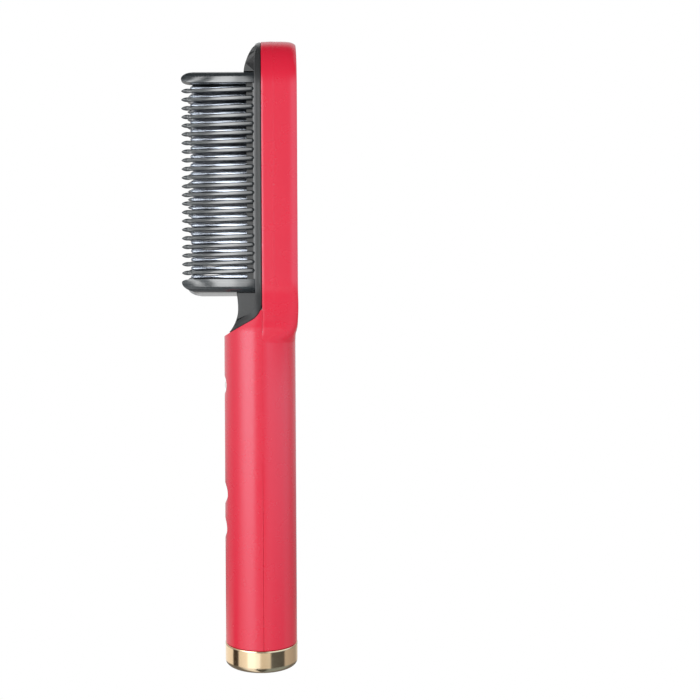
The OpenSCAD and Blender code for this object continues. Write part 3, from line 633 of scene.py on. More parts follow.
def rounded_box(half_w, half_h, r, steps=10):
    """Outline of a box with round corners."""
    corners = ((half_w - r, half_h - r, 0), (r - half_w, half_h - r, 1), (r - half_w, r - half_h, 2),
               (half_w - r, r - half_h, 3))
    return [(x + r * cos(a), y + r * sin(a))
            for x, y, q in corners for a in spaced(q * QUARTER, (q + 1) * QUARTER, steps)]


def frame_front(s, inset):
    """The front form that the comb frame is cut from, up to the head's top."""
    r = s.head_r - inset
    heights = (spaced(s.neck_z - 4, s.low_c, 40) + spaced(s.low_c, s.top_c, 4)[1:]
               + [s.top_c + r * sin(a) for a in spaced(0, QUARTER, 40)[1:]])
    return front_solid(s, heights, inset, s.parting, fold=True)


def flange_round(s):
    """What rounds the flange's front edge off, from the head's straight sides up and over its top."""
    sections, edge = [], s.rim_in + 0.17
    for (x, z), (nx, nz) in pill(s, 0, 40)[:41]:
        r = 0.3 + 1.7 * min(1, max(0, (nz - 0.6) / 0.3))
        profile = [(edge + r * (1 - sin(a)), s.ledge_y + r * (1 - cos(a))) for a in spaced(QUARTER, 0, 8)]
        profile += [(edge + r, s.ledge_y - 2), (-1.5, s.ledge_y - 2), (-1.5, s.ledge_y + r)]
        sections.append([(x - nx * d, y, z - nz * d) for d, y in profile])
    return loft("flange round", sections)


def comb_frame(s, material):
    top, low = s.comb_z + s.wall_out + 0.2, s.comb_z - s.wall_out - 0.2
    ramp_h, ramp_rise, ramp_x, power = 7.4, 13.5, 17, 4 / 3
    waist, chin_z, chin_x, tip = -9.8, s.low_c - 12.9, 14, -14
    band = prism("band", shoulder_outline(s, s.seal), "x", -WIDE, WIDE)
    front = shoulder_outline(s, s.seal + s.frame_t, -s.ry - 4)
    combine(band, "DIFFERENCE", prism("front", front, "x", -WIDE - 1, WIDE + 1))
    ramp = prism("ramp", [(s.frame_back, top)] + [
        (s.frame_back - ramp_h * max(0, cos(a)) ** power, top + ramp_rise * sin(a) ** power)
        for a in spaced(0, QUARTER, 32)],
        "x", -ramp_x, ramp_x)
    deep, foot = s.frame_back + 3, s.neck_z - 8
    chin = prism("chin", [(deep, low), (tip, low), (tip, foot), (deep, foot)], "x", -chin_x, chin_x)
    combine(chin, "INTERSECT", prism("region", shoulder_outline(s, s.seal), "x", -WIDE, WIDE))
    hollow = [(waist - dz * dz / 76, chin_z + dz) for dz in spaced(12, 0, 12)]
    hollow += [(waist - 15.2 + 15.2 * cos(a), chin_z - 15.2 * sin(a)) for a in spaced(0, radians(75), 24)[1:]]
    hollow += [(-60, chin_z - 14.7), (-60, chin_z + 12)]
    combine(chin, "DIFFERENCE", prism("hollow", hollow, "x", -WIDE, WIDE))
    combine(band, "DIFFERENCE", prism("hollow", hollow, "x", -WIDE, WIDE))
    combine(band, "DIFFERENCE", prism("past", [(tip, 0), (tip, s.height), (tip - 30, s.height), (tip - 30, 0)],
                                      "x", -WIDE - 1, WIDE + 1))
    combine(band, "DIFFERENCE", flange_round(s))
    combine(band, "UNION", ramp, chin)
    piece = frame_front(s, s.rim_in)
    combine(piece, "INTERSECT", band)
    middle = (0, s.comb_z)
    block = rounded_box(s.block_x, s.block_dz, 0.6)
    pocket = rounded_box(s.plate_x + s.fit, s.pocket_dz, 0.3)
    window = rounded_box(s.fin_w / 2 + 0.3, s.pocket_dz - 0.7, 0.5)
    combine(piece, "UNION", prism("block", block, "y", s.block_y, s.ledge_y + 0.5, shift=middle))
    combine(piece, "DIFFERENCE", prism("pocket", pocket, "y", s.block_y + s.skin, 4, shift=middle),
            prism("window", window, "y", s.block_y - 1, s.block_y + 2, shift=middle))
    piece.name = "comb_frame_shell"
    return finish(piece, material, BODY, "frame_plastic", "comb_frame", sharp=28)


def parting_seal(s, material):
    band = prism("band", shoulder_outline(s, 0), "x", -WIDE, WIDE)
    front = shoulder_outline(s, s.seal, -s.ry - 4)
    combine(band, "DIFFERENCE", prism("front", front, "x", -WIDE - 1, WIDE + 1))
    combine(band, "DIFFERENCE", prism("past", [(-13.5, 0), (-13.5, s.height), (-40, s.height), (-40, 0)],
                                      "x", -WIDE - 1, WIDE + 1))
    seal = frame_front(s, s.rim_in + 0.2)
    combine(seal, "INTERSECT", band)
    combine(seal, "DIFFERENCE", prism("inside", [p for p, _ in pill(s, s.rim_in + 2.2)], "y", -60, 60))
    seal.name = "parting_seal"
    return finish(seal, material, BODY, "seal_rubber", "frame_seal")


def tooth(s):
    """A slim tooth with a bullet-shaped root and a blunt bud at its tip, standing on the origin."""
    r, tall, bud = s.tooth_diameter / 2, s.tooth_reach + s.root_y, 2.8
    profile = [(0.0, 0.0)] + [(r * sin(a), 1.3 * (1 - cos(a))) for a in spaced(0, QUARTER, 6)[1:]]
    profile += [(r * 0.92, tall * 0.4), (r * 0.88, tall * 0.6), (r * 0.84, tall - 8), (r * 0.84, tall - 5)]
    profile += [(r * (0.92 - 0.08 * cos(pi * u)), tall - 5 + (5 - bud) * u) for u in (0.25, 0.5, 0.75, 1)]
    profile += [(r * (1 - u * u) ** 0.7, tall - bud * (1 - u)) for u in (0.2, 0.4, 0.55, 0.7, 0.82, 0.92, 0.98)]
    profile.append((0.0, tall))
    return lathe("tooth", profile, "z", steps=20)


def end_wall(s, side):
    """The wall at one end of the comb: a ridge at its lip, round outer corners."""
    nose, inner, root = 8.4, 3.5, s.root_y
    outline = [(-s.tooth_reach + nose * (1 - cos(a)), s.ridge + (s.wall_out - s.ridge) * sin(a))
               for a in spaced(0, QUARTER, 20)]
    outline += [(root, s.wall_out), (root, s.wall_in)]
    outline += [(-s.tooth_reach + inner * (1 - cos(a)), s.ridge - (s.ridge - s.wall_in) * sin(a))
                for a in spaced(QUARTER, 0, 10)[:-1]]
    half = s.row_x + s.tooth_diameter / 2
    wall = prism("end wall", [(y, s.comb_z + side * dz) for y, dz in outline], "x", -half, half)
    plan = prism("plan", rounded_box(half, s.wall_out, 5, 20), "y", -60, 60, shift=(0, s.comb_z))
    combine(wall, "INTERSECT", plan)
    seat = prism("seat", [(x, s.comb_z + side * dz) for x, dz in (
        (-s.block_x - 0.05, 0), (s.block_x + 0.05, 0), (s.block_x + 0.05, s.block_dz + 0.1),
        (-s.block_x - 0.05, s.block_dz + 0.1))], "y", s.block_y - 0.1, 10)
    horn, back = s.row_x - 2.2, -s.fin_reach + 1
    front = -s.tooth_reach - 1
    notch = prism("notch", [(-horn, front), (horn, front), (horn - 2, back), (2 - horn, back)],
                  "z", s.comb_z - 60, s.comb_z + 60)
    return bevel(combine(wall, "DIFFERENCE", seat, notch), 1.5, 5, 50)


def guard_comb(s, material):
    sizes = bpy.context.scene.brush_sizes
    teeth = copies("teeth", tooth(s), material, sizes.tooth_count, s.tooth_pitch,
                   (-s.row_x, s.root_y, s.comb_z - s.half_comb + 0.6), rows=2, row_distance=2 * s.row_x,
                   tilt=(QUARTER + sizes.tooth_droop, 0, 0))
    bar = rounded_box(0.5, s.wall_in + 1, 0.2, 3)
    rails = [prism("rail", bar, "y", -2.6, -1.6, shift=(side * s.row_x, s.comb_z)) for side in (-1, 1)]
    comb = join("guard_comb_moulding", teeth, *rails, end_wall(s, 1), end_wall(s, -1))
    return finish(comb, material, BODY, "comb_plastic", "guard_comb", sharp=40)


def fin(s):
    """A heated fin: round edge, waisted flanks, soft corners at its two ends."""
    tip, depth, half_t = 1.6, s.fin_reach + s.plate_y + 0.5, s.fin_thickness / 2

    def step(v):
        v = min(1, max(0, v))
        return v * v * (3 - 2 * v)

    def thick(u):
        if u <= tip:
            return half_t * sqrt(max(0, 1 - (1 - u / tip) ** 2))
        return half_t * (1 - 0.35 * step((u - 3) / 4) * (1 - step((u - 9) / 7)))

    us = [tip * (1 - cos(a)) for a in spaced(0, QUARTER, 6)] + spaced(2.4, depth, 24)
    outline = [(u - s.fin_reach, thick(u)) for u in us]
    outline += [(y, -t) for y, t in reversed(outline[1:])]
    return prism("fin", outline, "x", -s.fin_w / 2, s.fin_w / 2)


def heating_comb(s, material):
    count = bpy.context.scene.brush_sizes.tooth_count + 1
    fins = copies("fins", bevel(fin(s), 0.8, 5, 50), material, count, s.tooth_pitch,
                  (0, 0, s.comb_z - (count - 1) / 2 * s.tooth_pitch + 0.25))
    plate = prism("plate", rounded_box(s.plate_x, s.pocket_dz - s.fit, 0.5), "y", s.plate_y, s.plate_y + 2,
                  shift=(0, s.comb_z))
    comb = join("heated_fins", fins, bevel(plate, 0.15, 1))
    return finish(comb, material, BODY, "coated_aluminium", "heating_comb", sharp=40)


def back_trim(s, gold, red):
    """The bevelled bezel and the panel inside it, both swept round the pill outline."""
    outer, inner = s.rim_width + 0.1, s.rim_width + 0.1 + s.bezel_width
    base, low, high, e = s.recess_y + 0.05, s.recess_y + 0.6, s.recess_y + 1.1, 0.2
    profile = [(outer, base), (outer, low - e), (outer + e * 0.3, low - e * 0.2), (outer + e, low + e * 0.35)]
    profile += [(inner - 3 * e, high - e * 0.45), (inner - e, high), (inner - e * 0.25, high - e * 0.25),
                (inner, high - e), (inner, base)]
    sections = [[(x - nx * d, y, z - nz * d) for d, y in profile] for (x, z), (nx, nz) in pill(s, 0, 96)]
    bezel = ring_loft("bezel", sections)
    finish(bezel, gold, BODY, "gold_plating", "back_bezel", sharp=24)
    edge = inner + 0.1
    top = span_mm("back_panel", 1)[1]
    rings = [(edge, base), (edge, top - 0.3 - e), (edge + e * 0.3, top - 0.3 - e * 0.3), (edge + e, top - 0.3)]
    crown = 9.0
    rings += [(edge + e + crown * u, top - 0.3 * (1 - u) ** 2) for u in spaced(0, 1, 10)[1:]]
    loops = [[(x, y, z) for (x, z), _ in pill(s, d, 72)] for d, y in rings]
    panel = loft("back_panel_skin", loops)
    return finish(panel, red, BODY, "red_shell", "back_panel", sharp=30)


def end_cap(gold, steel):
    a, b, top = (span_mm("end_cap", axis)[1] for axis in range(3))
    round_r, wall, floor, e = 2.3, 1.8, 2.4, 0.25
    rings = [(round_r * (1 - sin(t)), round_r * (1 - cos(t))) for t in spaced(0, QUARTER, 14)]
    support = 0.5  # loops close to an edge keep the flat part's shading flat
    rings += [(0, round_r + support), (0, top - e - support), (0, top - e), (e * 0.3, top - e * 0.3), (e, top),
              (wall, top), (wall, floor)]
    loops = [[(x, y, h) for x, y in ellipse(a - d, b - d, 128)] for d, h in rings]
    cap = loft("end_cap_shell", loops)
    head_r = 1.9
    boss_y = span_mm("cap_screws", 1)[1] - head_r
    hole_r, recess_r, recess_top, clearance_r = 7.55, 2.1, 1.45, 1.25
    holes = [prism("hole", ellipse(hole_r, hole_r, 128), "z", -1, 5)]
    for side in (-1, 1):
        spot = (0, side * boss_y)
        holes.append(prism("recess", ellipse(recess_r, recess_r, 48), "z", -1, recess_top, shift=spot))
        holes.append(prism("clearance", ellipse(clearance_r, clearance_r, 32), "z", 1, 5, shift=spot))
    combine(cap, "DIFFERENCE", *holes)
    finish(cap, gold, BODY, "gold_plating", "end_cap", sharp=30)
    screws, shank_r = [], 1.0
    for side in (-1, 1):
        profile = [(0.0, 0.3), (1.5, 0.3), (1.78, 0.38), (head_r, 0.6), (head_r, 1.4), (shank_r, 1.4),
                   (shank_r, 9.3), (0.0, 9.3)]
        head = lathe("screw", profile, "z", centre=(0, side * boss_y), steps=40)
        slots = [prism("slot", [(-w, -h), (w, -h), (w, h), (-w, h)], "z", 0, 0.85, shift=(0, side * boss_y))
                 for w, h in ((1.1, 0.22), (0.22, 1.1))]
        screws.append(combine(head, "DIFFERENCE", *slots))
    return finish(join("base_screws", *screws), steel, BODY, "screw_steel", "cap_screws", sharp=30)


def cord_inlet(material):
    low, high = span_mm("cord_swivel", 2)
    bore_r, tube_r, nose_r, collar_r, edge = 3.5, 6.0, 7.5, 8.9, 0.3
    collar_low, collar_high, mouth = 3.0, 4.25, 0.4
    profile = [(bore_r + mouth, low), (nose_r - edge, low), (nose_r - edge * 0.27, low + edge * 0.27),
               (nose_r, low + edge), (nose_r, collar_low), (collar_r, collar_low), (collar_r, collar_high),
               (tube_r, collar_high), (tube_r, high), (bore_r, high), (bore_r, low + mouth)]
    nose = lathe("cord_inlet_nose", profile, "z", steps=96)
    return finish(nose, material, "cord_inlet", "inner_plastic", "cord_swivel", sharp=30)


def oval_key(s, name, key, material):
    a, b = key.wide - key.margin - key.gap, key.high - key.margin - key.gap
    cap = prism(f"{name}_key_cap", ellipse(a, b), "y", -s.ry - 1, s.seat_y + 0.5, shift=(0, key.z))
    combine(cap, "INTERSECT", prism("skin", ellipse(s.rx - 0.05, s.ry - 0.05, 256), "z", key.z - 8, key.z + 8))
    combine(cap, "DIFFERENCE", dish(s, key))
    bevel(cap, 0.18, 2, 40)
    flange_y = s.seat_y + s.fit
    flange = prism("flange", ellipse(a + 1.0, b + 1.0), "y", flange_y, flange_y + s.key_flange,
                   shift=(0, key.z))
    back = span_mm(f"{name}_button", 1)[1]
    stem = prism("stem", ellipse(1.5, 1.5, 40), "y", flange_y, back, shift=(0, key.z))
    piece = join(f"{name}_key_piece", combine(cap, "UNION", flange, stem))
    return finish(piece, material, f"{name}_key", "red_shell", f"{name}_button")


def power_key(s, key, material):
    r = span_mm("power_button", 0)[1] - s.power_lip
    front, back = span_mm("power_button", 1)
    crown = [(r * sin(a), front + 1.3 * (1 - cos(a))) for a in spaced(0, QUARTER * 0.98, 14)]
    flange_y, lip_r, stem_r = s.seat_y + s.fit, r + s.power_lip, 1.5
    profile = crown + [(r, front + 2), (r, flange_y), (lip_r, flange_y), (lip_r, flange_y + s.key_flange),
                       (stem_r, flange_y + s.key_flange), (stem_r, back), (0.0, back)]
    cap = lathe("power_key_piece", profile, "y", centre=(0, key.z), steps=64)
    return finish(cap, material, "power_key", "white_plastic", "power_button", sharp=30)


def indicator(s, lens_material, led_material):
    low, high = span_mm("indicator_lens", 2)
    mid = (low + high) / 2
    lens = prism("indicator_window", stadium(2.2, 13.8), "y", -s.ry - 1, -s.ry + 3.5, shift=(0, mid))
    combine(lens, "INTERSECT", prism("skin", ellipse(s.rx - 0.03, s.ry - 0.03, 256), "z", mid - 10, mid + 10))
    lip_y = -s.ry + s.wall + 0.3
    combine(lens, "UNION", prism("lip", stadium(4.4, 16), "y", lip_y, lip_y + 1, shift=(0, mid)))
    finish(lens, lens_material, BODY, "lens_plastic", "indicator_lens")
    board_y = span_mm("indicator_leds", 1)[1]
    led = bevel(prism("led", rounded_box(0.8, 0.45, 0.1, 3), "y", board_y - 0.8, board_y), 0.08, 1)
    count, half = 5, 0.45
    first, last = span_mm("indicator_leds", 2)
    first, last = first + half, last - half
    leds = copies("indicator_lights", led, led_material, count, (last - first) / (count - 1), (0, 0, first))
    return finish(leds, led_material, BODY, "led_package", "indicator_leds")


def inner_finishes():
    """Finishes of the pieces that stay as they are, most of them inside."""
    nylon = plain_finish("Black nylon", "#1b1c1e", 0.5, **{"IOR": 1.53})
    steel = plain_finish("Zinc-plated steel", "#b6b7b5", 0.32, 1.0)
    brass = plain_finish("Bare brass", "#c9a557", 0.25, 1.0)
    finishes = {
        "thrust_washer": plain_finish("Acetal", "#e6e4dc", 0.45), "slip_rings": brass, "contact_block": nylon,
        "brush_contacts": brass, "frame_screws": steel,
        "ptc_heaters": plain_finish("Sintered ceramic", "#b9b2a2", 0.7, grain_mm=0.15),
        "insulation_sheet": plain_finish("Polyimide film", "#b5690f", 0.25),
        "heater_clamp": plain_finish("Mill-finish aluminium", "#c2c4c6", 0.35, 1.0), "clamp_screws": steel,
        "heat_shield": plain_finish("Mica laminate", "#a0916f", 0.6, grain_mm=1.2),
        "thermal_fuse": plain_finish("Tinned can", "#b1aca4", 0.3, 1.0),
        "temperature_sensor": plain_finish("Epoxy bead", "#26477f", 0.3),
        "heater_leads": plain_finish("Red silicone", "#b01c1c", 0.55),
        "main_board": plain_finish("Solder mask", "#175c32", 0.35), "board_screws": steel,
        "microcontroller": plain_finish("Moulding compound", "#262627", 0.55),
        "power_relay": plain_finish("Relay case", "#1f4788", 0.35),
        "supply_capacitor": plain_finish("Shrink sleeve", "#33261f", 0.3), "tact_switches": nylon,
        "power_plunger": nylon, "plus_plunger": nylon, "minus_plunger": nylon,
        "supply_leads": plain_finish("Brown silicone", "#5a2f18", 0.55),
    }
    for name, material in finishes.items():
        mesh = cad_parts[name].data
        mesh.materials.clear()
        mesh.materials.append(material)


# ---------------------------------------------------------------- stage

def ramp_of(tree, factor, stops):
    """A colour ramp through stops of (place, colour) in rising order."""
    ramp = add_node(tree, "ShaderNodeValToRGB", links={"Fac": factor})
    elements = ramp.color_ramp.elements
    elements.remove(elements[1])
    elements[0].position, elements[0].color = stops[0]
    for place, value in stops[1:]:
        elements.new(place).color = value
    return ramp.outputs["Color"]


def band_ramp(tree, factor, stops):
    """Colours by compass direction; each stop is (degrees from +X towards +Y, red, green, blue)."""
    return ramp_of(tree, factor, [((angle + 180) / 360, (*rgb, 1)) for angle, *rgb in stops])


def between(tree, value, edges):
    """A weight that rises from 0 to 1 and falls again along a value: four edges in rising order."""
    return ramp_of(tree, value, [(edge, (w, w, w, 1)) for edge, w in zip(edges, (0, 1, 1, 0))])


def blend_colours(tree, factor, first, second):
    """Mixes two colours, each a socket or a plain colour."""
    mix = add_node(tree, "ShaderNodeMix", settings={"data_type": "RGBA"}, links={"Factor": factor})
    for key, source in (("A", first), ("B", second)):
        socket = next(i for i in mix.inputs if i.name == key and i.type == "RGBA")
        if isinstance(source, tuple):
            socket.default_value = source
        else:
            tree.links.new(source, socket)
    return next(o for o in mix.outputs if o.type == "RGBA")


# What glossy surfaces see at eye level and above: a tall soft panel on the left, a weaker one on the right
PANELS = [(-180, 0.8, 0.8, 0.8), (-118, 0.7, 0.7, 0.7), (-100, 0.5, 0.5, 0.5), (-78, 0.7, 0.7, 0.7),
          (-50, 3.2, 3.25, 3.3), (-26, 3.2, 3.25, 3.3), (-14, 0.3, 0.32, 0.32), (14, 0.3, 0.32, 0.32),
          (26, 0.9, 1.1, 1.2), (95, 0.9, 1.1, 1.2), (115, 0.5, 0.5, 0.5), (180, 0.8, 0.8, 0.8)]
# and below eye level, where the gold cap looks: pale cards and black flags
CARDS = [(-180, 1.05, 0.98, 0.9), (-108, 1.05, 0.98, 0.9), (-103, 0.035, 0.02, 0.01), (-83, 0.035, 0.02, 0.01),
         (-79, 1.05, 0.98, 0.9), (-50, 1.1, 1.03, 0.95), (-44, 1.7, 1.75, 1.8), (-8, 1.7, 1.75, 1.8),
         (-1, 1.05, 0.98, 0.88), (28, 1.0, 0.93, 0.83), (33, 0.04, 0.022, 0.014), (78, 0.04, 0.022, 0.014),
         (84, 0.6, 0.52, 0.46), (138, 0.4, 0.36, 0.32), (180, 1.05, 0.98, 0.9)]


def studio_world():
    """White for the camera, an even glow for matt surfaces, panels and flags for glossy ones."""
    world = bpy.data.worlds.new("Studio")
    bpy.context.scene.world = world
    world.use_nodes = True
    world.cycles.sampling_method = "NONE"
    tree = world.node_tree
    tree.nodes.clear()
    coords = add_node(tree, "ShaderNodeTexCoord")
    split = add_node(tree, "ShaderNodeSeparateXYZ", links={"Vector": coords.outputs["Object"]})
    turn = add_node(tree, "ShaderNodeMath", settings={"operation": "ARCTAN2"},
                    links={0: split.outputs["Y"], 1: split.outputs["X"]})
    compass = add_node(tree, "ShaderNodeMapRange", values={"From Min": -pi, "From Max": pi},
                       links={"Value": turn.outputs[0]}).outputs["Result"]
    # rise: 0 straight down, 0.5 level, 1 straight up
    rise = add_node(tree, "ShaderNodeMapRange", values={"From Min": -1.0, "From Max": 1.0},
                    links={"Value": split.outputs["Z"]}).outputs["Result"]
    low_cards = between(tree, rise, (0.33, 0.342, 0.366, 0.378))
    fall = add_node(tree, "ShaderNodeMapRange", values={
        "From Min": 0.37, "From Max": 0.49, "To Min": 0.3, "To Max": 1.1}, links={"Value": rise})
    panels = add_node(tree, "ShaderNodeVectorMath", settings={"operation": "SCALE"}, links={
        0: band_ramp(tree, compass, PANELS), "Scale": fall.outputs["Result"]}).outputs[0]
    glossy = blend_colours(tree, low_cards, panels, band_ramp(tree, compass, CARDS))
    ahead = between(tree, compass, (0.2, 0.28, 0.72, 0.8))
    over = add_node(tree, "ShaderNodeMapRange", values={"From Min": 0.68, "From Max": 0.8},
                    links={"Value": rise})
    over = add_node(tree, "ShaderNodeMath", settings={"operation": "MULTIPLY"},
                    links={0: over.outputs[0], 1: ahead})
    zenith = add_node(tree, "ShaderNodeMapRange", values={"From Min": 0.88, "From Max": 0.96},
                      links={"Value": rise})
    dark = add_node(tree, "ShaderNodeMath", settings={"operation": "MAXIMUM"},
                    links={0: over.outputs[0], 1: zenith.outputs["Result"]})
    glossy = blend_colours(tree, dark.outputs[0], glossy, (0.03, 0.03, 0.03, 1))
    side = add_node(tree, "ShaderNodeVectorMath", settings={"operation": "DOT_PRODUCT"},
                    links={0: coords.outputs["Object"]})
    side.inputs[1].default_value = (0.2, -0.05, -0.27)
    glow = add_node(tree, "ShaderNodeMath", settings={"operation": "ADD"}, values={1: 0.66},
                    links={0: side.outputs["Value"]})
    matt = add_node(tree, "ShaderNodeBackground", links={"Strength": glow.outputs[0]})
    matt.inputs["Color"].default_value = (1, 1, 1, 1)
    shiny = add_node(tree, "ShaderNodeBackground", values={"Strength": 1.0}, links={"Color": glossy})
    plain = add_node(tree, "ShaderNodeBackground", values={"Color": (1, 1, 1, 1), "Strength": 1.0})
    path = add_node(tree, "ShaderNodeLightPath")
    soft = add_node(tree, "ShaderNodeMixShader", links={
        0: path.outputs["Is Diffuse Ray"], 1: shiny.outputs[0], 2: matt.outputs[0]})
    pick = add_node(tree, "ShaderNodeMixShader", links={
        0: path.outputs["Is Camera Ray"], 1: soft.outputs[0], 2: plain.outputs[0]})
    add_node(tree, "ShaderNodeOutputWorld", links={"Surface": pick.outputs[0]})


def soft_light(name, place, target, size, power, only=()):
    """An area light; where pieces are named it falls on those alone."""
    data = bpy.data.lights.new(name, "AREA")
    data.shape, data.size, data.size_y, data.energy = "RECTANGLE", size[0], size[1], power
    lamp = bpy.data.objects.new(name, data)
    lamp.location = place
    lamp.rotation_euler = (Vector(target) - Vector(place)).to_track_quat("-Z", "Y").to_euler()
    bpy.context.scene.collection.objects.link(lamp)
    lamp.visible_camera = False
    if only:
        lamp.visible_diffuse = False
        lit = bpy.data.collections.new(f"{name} falls on")
        for piece in only:
            lit.objects.link(bpy.data.objects[piece])
        lamp.light_linking.receiver_collection = lit
    return lamp


def floor():
    """A white floor that only the camera sees, from above: it neither shades nor reflects."""
    reach = 3000
    corners = [(-reach, -reach, 0), (reach, -reach, 0), (reach, reach, 0), (-reach, reach, 0)]
    obj = new_object("floor", corners, [(0, 1, 2, 3)])
    material = bpy.data.materials.new("White floor")
    material.use_nodes = True
    tree = material.node_tree
    tree.nodes.clear()
    path = add_node(tree, "ShaderNodeLightPath")
    face = add_node(tree, "ShaderNodeNewGeometry")
    seen = add_node(tree, "ShaderNodeMath", settings={"operation": "SUBTRACT", "use_clamp": True},
                    links={0: path.outputs["Is Camera Ray"], 1: face.outputs["Backfacing"]})
    mix = add_node(tree, "ShaderNodeMixShader", links={
        0: seen.outputs[0], 1: add_node(tree, "ShaderNodeBsdfTransparent").outputs[0],
        2: add_node(tree, "ShaderNodeEmission", values={"Color": (1, 1, 1, 1)}).outputs[0]})
    add_node(tree, "ShaderNodeOutputMaterial", links={"Surface": mix.outputs[0]})
    obj.data.materials.append(material)


def camera():
    """The photograph's view: level, from +X, with the brush left of the middle and leaning a trifle."""
    image, axis_column, scale = 700, 261.0, 0.4677
    distance, eye, lean = 463.0, 146.0, radians(-0.32)
    data = bpy.data.cameras.new("Camera")
    data.sensor_width = 36
    data.lens = data.sensor_width * distance / (image * scale)
    data.shift_x = (image / 2 - axis_column) / image
    data.clip_start, data.clip_end = 0.01, 20
    cam = bpy.data.objects.new("Camera", data)
    cam.location = (distance * MM, 0.49 * MM, eye * MM)
    level_view = Euler((QUARTER, 0, QUARTER)).to_matrix()
    cam.rotation_euler = (level_view @ Matrix.Rotation(lean, 3, "Z")).to_euler()
    bpy.context.scene.collection.objects.link(cam)
    bpy.context.scene.camera = cam


# ---------------------------------------------------------------- operators

class PieceOperator:
    """What the operators share: each builds its pieces from the sizes and the colours"""
    bl_options = {"REGISTER", "UNDO"}

    def execute(self, context):
        self.build(shape(), context.scene.brush_colours)
        return {"FINISHED"}


class BRUSH_OT_stage(PieceOperator, bpy.types.Operator):
    """Adds the camera, the light and the studio surroundings"""
    bl_idname = "brush.stage"
    bl_label = "Stage"

    def build(self, s, colours):
        camera()
        floor()
        studio_world()
        soft_light("Key", (0.85, -0.23, 0.2), (0, 0, 0.16), (0.5, 0.5), 2.4).visible_glossy = False
        bpy.context.scene.view_settings.view_transform = "Standard"


class BRUSH_OT_shells(PieceOperator, bpy.types.Operator):
    """Makes the red rear and front shells"""
    bl_idname = "brush.shells"
    bl_label = "Shells"

    def build(self, s, colours):
        red = satin_abs("Satin ABS, coral red", colours.shell)
        rear_shell(s, red)
        front_shell(s, red)


class BRUSH_OT_back_trim(PieceOperator, bpy.types.Operator):
    """Makes the gold bezel and the red panel on the head's back"""
    bl_idname = "brush.back_trim"
    bl_label = "Back trim"

    def build(self, s, colours):
        back_trim(s, plated_abs("Plated ABS, champagne gold, bezel", colours.trim),
                  satin_abs("Satin ABS, panel red", colours.panel, 0.3, 0.35))


class BRUSH_OT_base(PieceOperator, bpy.types.Operator):
    """Makes the gold end cap, its screws and the cord inlet"""
    bl_idname = "brush.base"
    bl_label = "Base"

    def build(self, s, colours):
        end_cap(plated_abs("Plated ABS, champagne gold", colours.trim),
                plain_finish("Zinc-plated screw steel", "#b6b7b5", 0.3, 1.0))
        cord_inlet(filled_nylon("Glass-filled nylon, black", "#1d1f20", 0.45))


class BRUSH_OT_frame(PieceOperator, bpy.types.Operator):
    """Makes the dark comb frame with its ramp and chin, and the seal behind it"""
    bl_idname = "brush.comb_frame"
    bl_label = "Comb frame"

    def build(self, s, colours):
        comb_frame(s, filled_nylon("Glass-filled PPS, dark grey", colours.frame_grey, 0.24, 0.8))
        parting_seal(s, plain_finish("Silicone rubber, black", "#0d0d0e", 0.6))


class BRUSH_OT_comb(PieceOperator, bpy.types.Operator):
    """Makes the comb guard with its slim teeth, and the heated fins"""
    bl_idname = "brush.comb"
    bl_label = "Comb"

    def build(self, s, colours):
        guard_comb(s, filled_nylon("Glossy heat-resistant nylon", colours.comb_grey, 0.18, 1.0, 1.0))
        heating_comb(s, coated_aluminium("Ceramic-coated aluminium", colours.fins))


class BRUSH_OT_keys(PieceOperator, bpy.types.Operator):
    """Makes the round key, the two dished keys and the indicator"""
    bl_idname = "brush.keys"
    bl_label = "Keys"

    def build(self, s, colours):
        keys = key_data()
        red = satin_abs("Satin ABS, key red", colours.shell)
        for name in ("plus", "minus"):
            oval_key(s, name, keys[name], red)
        power_key(s, keys["power"], plain_finish("Gloss white ABS", colours.key_white, 0.22, **{"IOR": 1.53}))
        milky = plain_finish("Milky polycarbonate", "#e9e9e6", 0.3, **{"IOR": 1.58, "Transmission Weight": 0.35})
        indicator(s, milky, plain_finish("LED resin", "#efe6a8", 0.3))


class BRUSH_OT_inside(PieceOperator, bpy.types.Operator):
    """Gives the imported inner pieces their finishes"""
    bl_idname = "brush.inside"
    bl_label = "Inside"

    def build(self, s, colours):
        inner_finishes()


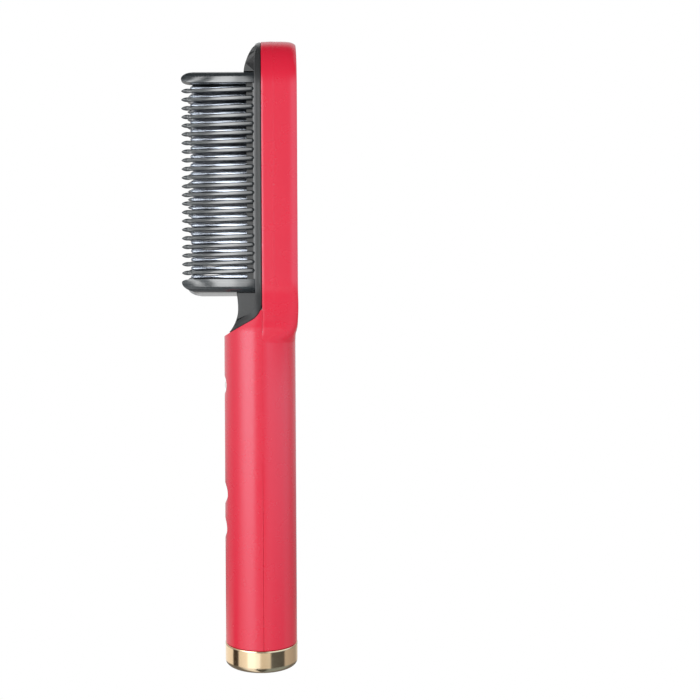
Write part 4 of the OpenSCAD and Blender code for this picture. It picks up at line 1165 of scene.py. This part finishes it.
class BRUSH_OT_comb_light(PieceOperator, bpy.types.Operator):
    """Adds the soft lights that fall on the comb and its frame alone"""
    bl_idname = "brush.comb_light"
    bl_label = "Comb light"

    def build(self, s, colours):
        size, radiance = (0.16, 0.6), 1.2
        soft_light("Frame light", (0.9, 0, 0.33), (0, 0, 0.22), size, radiance * pi * size[0] * size[1],
                   only=("comb_frame_shell",))
        teeth, fins = "guard_comb_moulding", "heated_fins"
        strips = ((teeth, -36.5, -32, 5.5), (teeth, -23.5, -8.5, 5.5), (teeth, -8.5, 1, 2.5),
                  (fins, -36.5, -32, 8.5), (fins, -23.5, -8.5, 8.5))  # each from y to y, with its radiance
        beside, tall = 0.06, 0.26
        for piece, first, last, radiance in strips:
            size = ((last - first) * MM, tall)
            mid = (first + last) / 2 * MM
            soft_light(f"{piece} light", (beside, mid, s.comb_z * MM), (0, mid, s.comb_z * MM), size,
                       radiance * pi * size[0] * size[1], only=(piece,))


OPERATORS = (BRUSH_OT_stage, BRUSH_OT_shells, BRUSH_OT_back_trim, BRUSH_OT_base, BRUSH_OT_frame, BRUSH_OT_comb,
             BRUSH_OT_keys, BRUSH_OT_inside, BRUSH_OT_comb_light)


class BRUSH_PT_panel(bpy.types.Panel):
    """Lists the pieces of the brush"""
    bl_idname = "BRUSH_PT_panel"
    bl_label = "Hair straightening brush"
    bl_space_type = "VIEW_3D"
    bl_region_type = "UI"
    bl_category = "Brush"

    def draw(self, context):
        for operator in OPERATORS:
            self.layout.operator(operator.bl_idname)
        for group in (context.scene.brush_sizes, context.scene.brush_colours):
            for key in group.__annotations__:
                self.layout.prop(group, key)


CLASSES = (BrushSizes, BrushColours, *OPERATORS, BRUSH_PT_panel)


def register():
    for cls in CLASSES:
        bpy.utils.register_class(cls)
    bpy.types.Scene.brush_sizes = bpy.props.PointerProperty(type=BrushSizes)
    bpy.types.Scene.brush_colours = bpy.props.PointerProperty(type=BrushColours)


def unregister():
    del bpy.types.Scene.brush_sizes, bpy.types.Scene.brush_colours
    for cls in reversed(CLASSES):
        bpy.utils.unregister_class(cls)


def main():
    register()
    for operator in OPERATORS:
        group, name = operator.bl_idname.split(".")
        getattr(getattr(bpy.ops, group), name)()


if __name__ == "__main__":
    main()
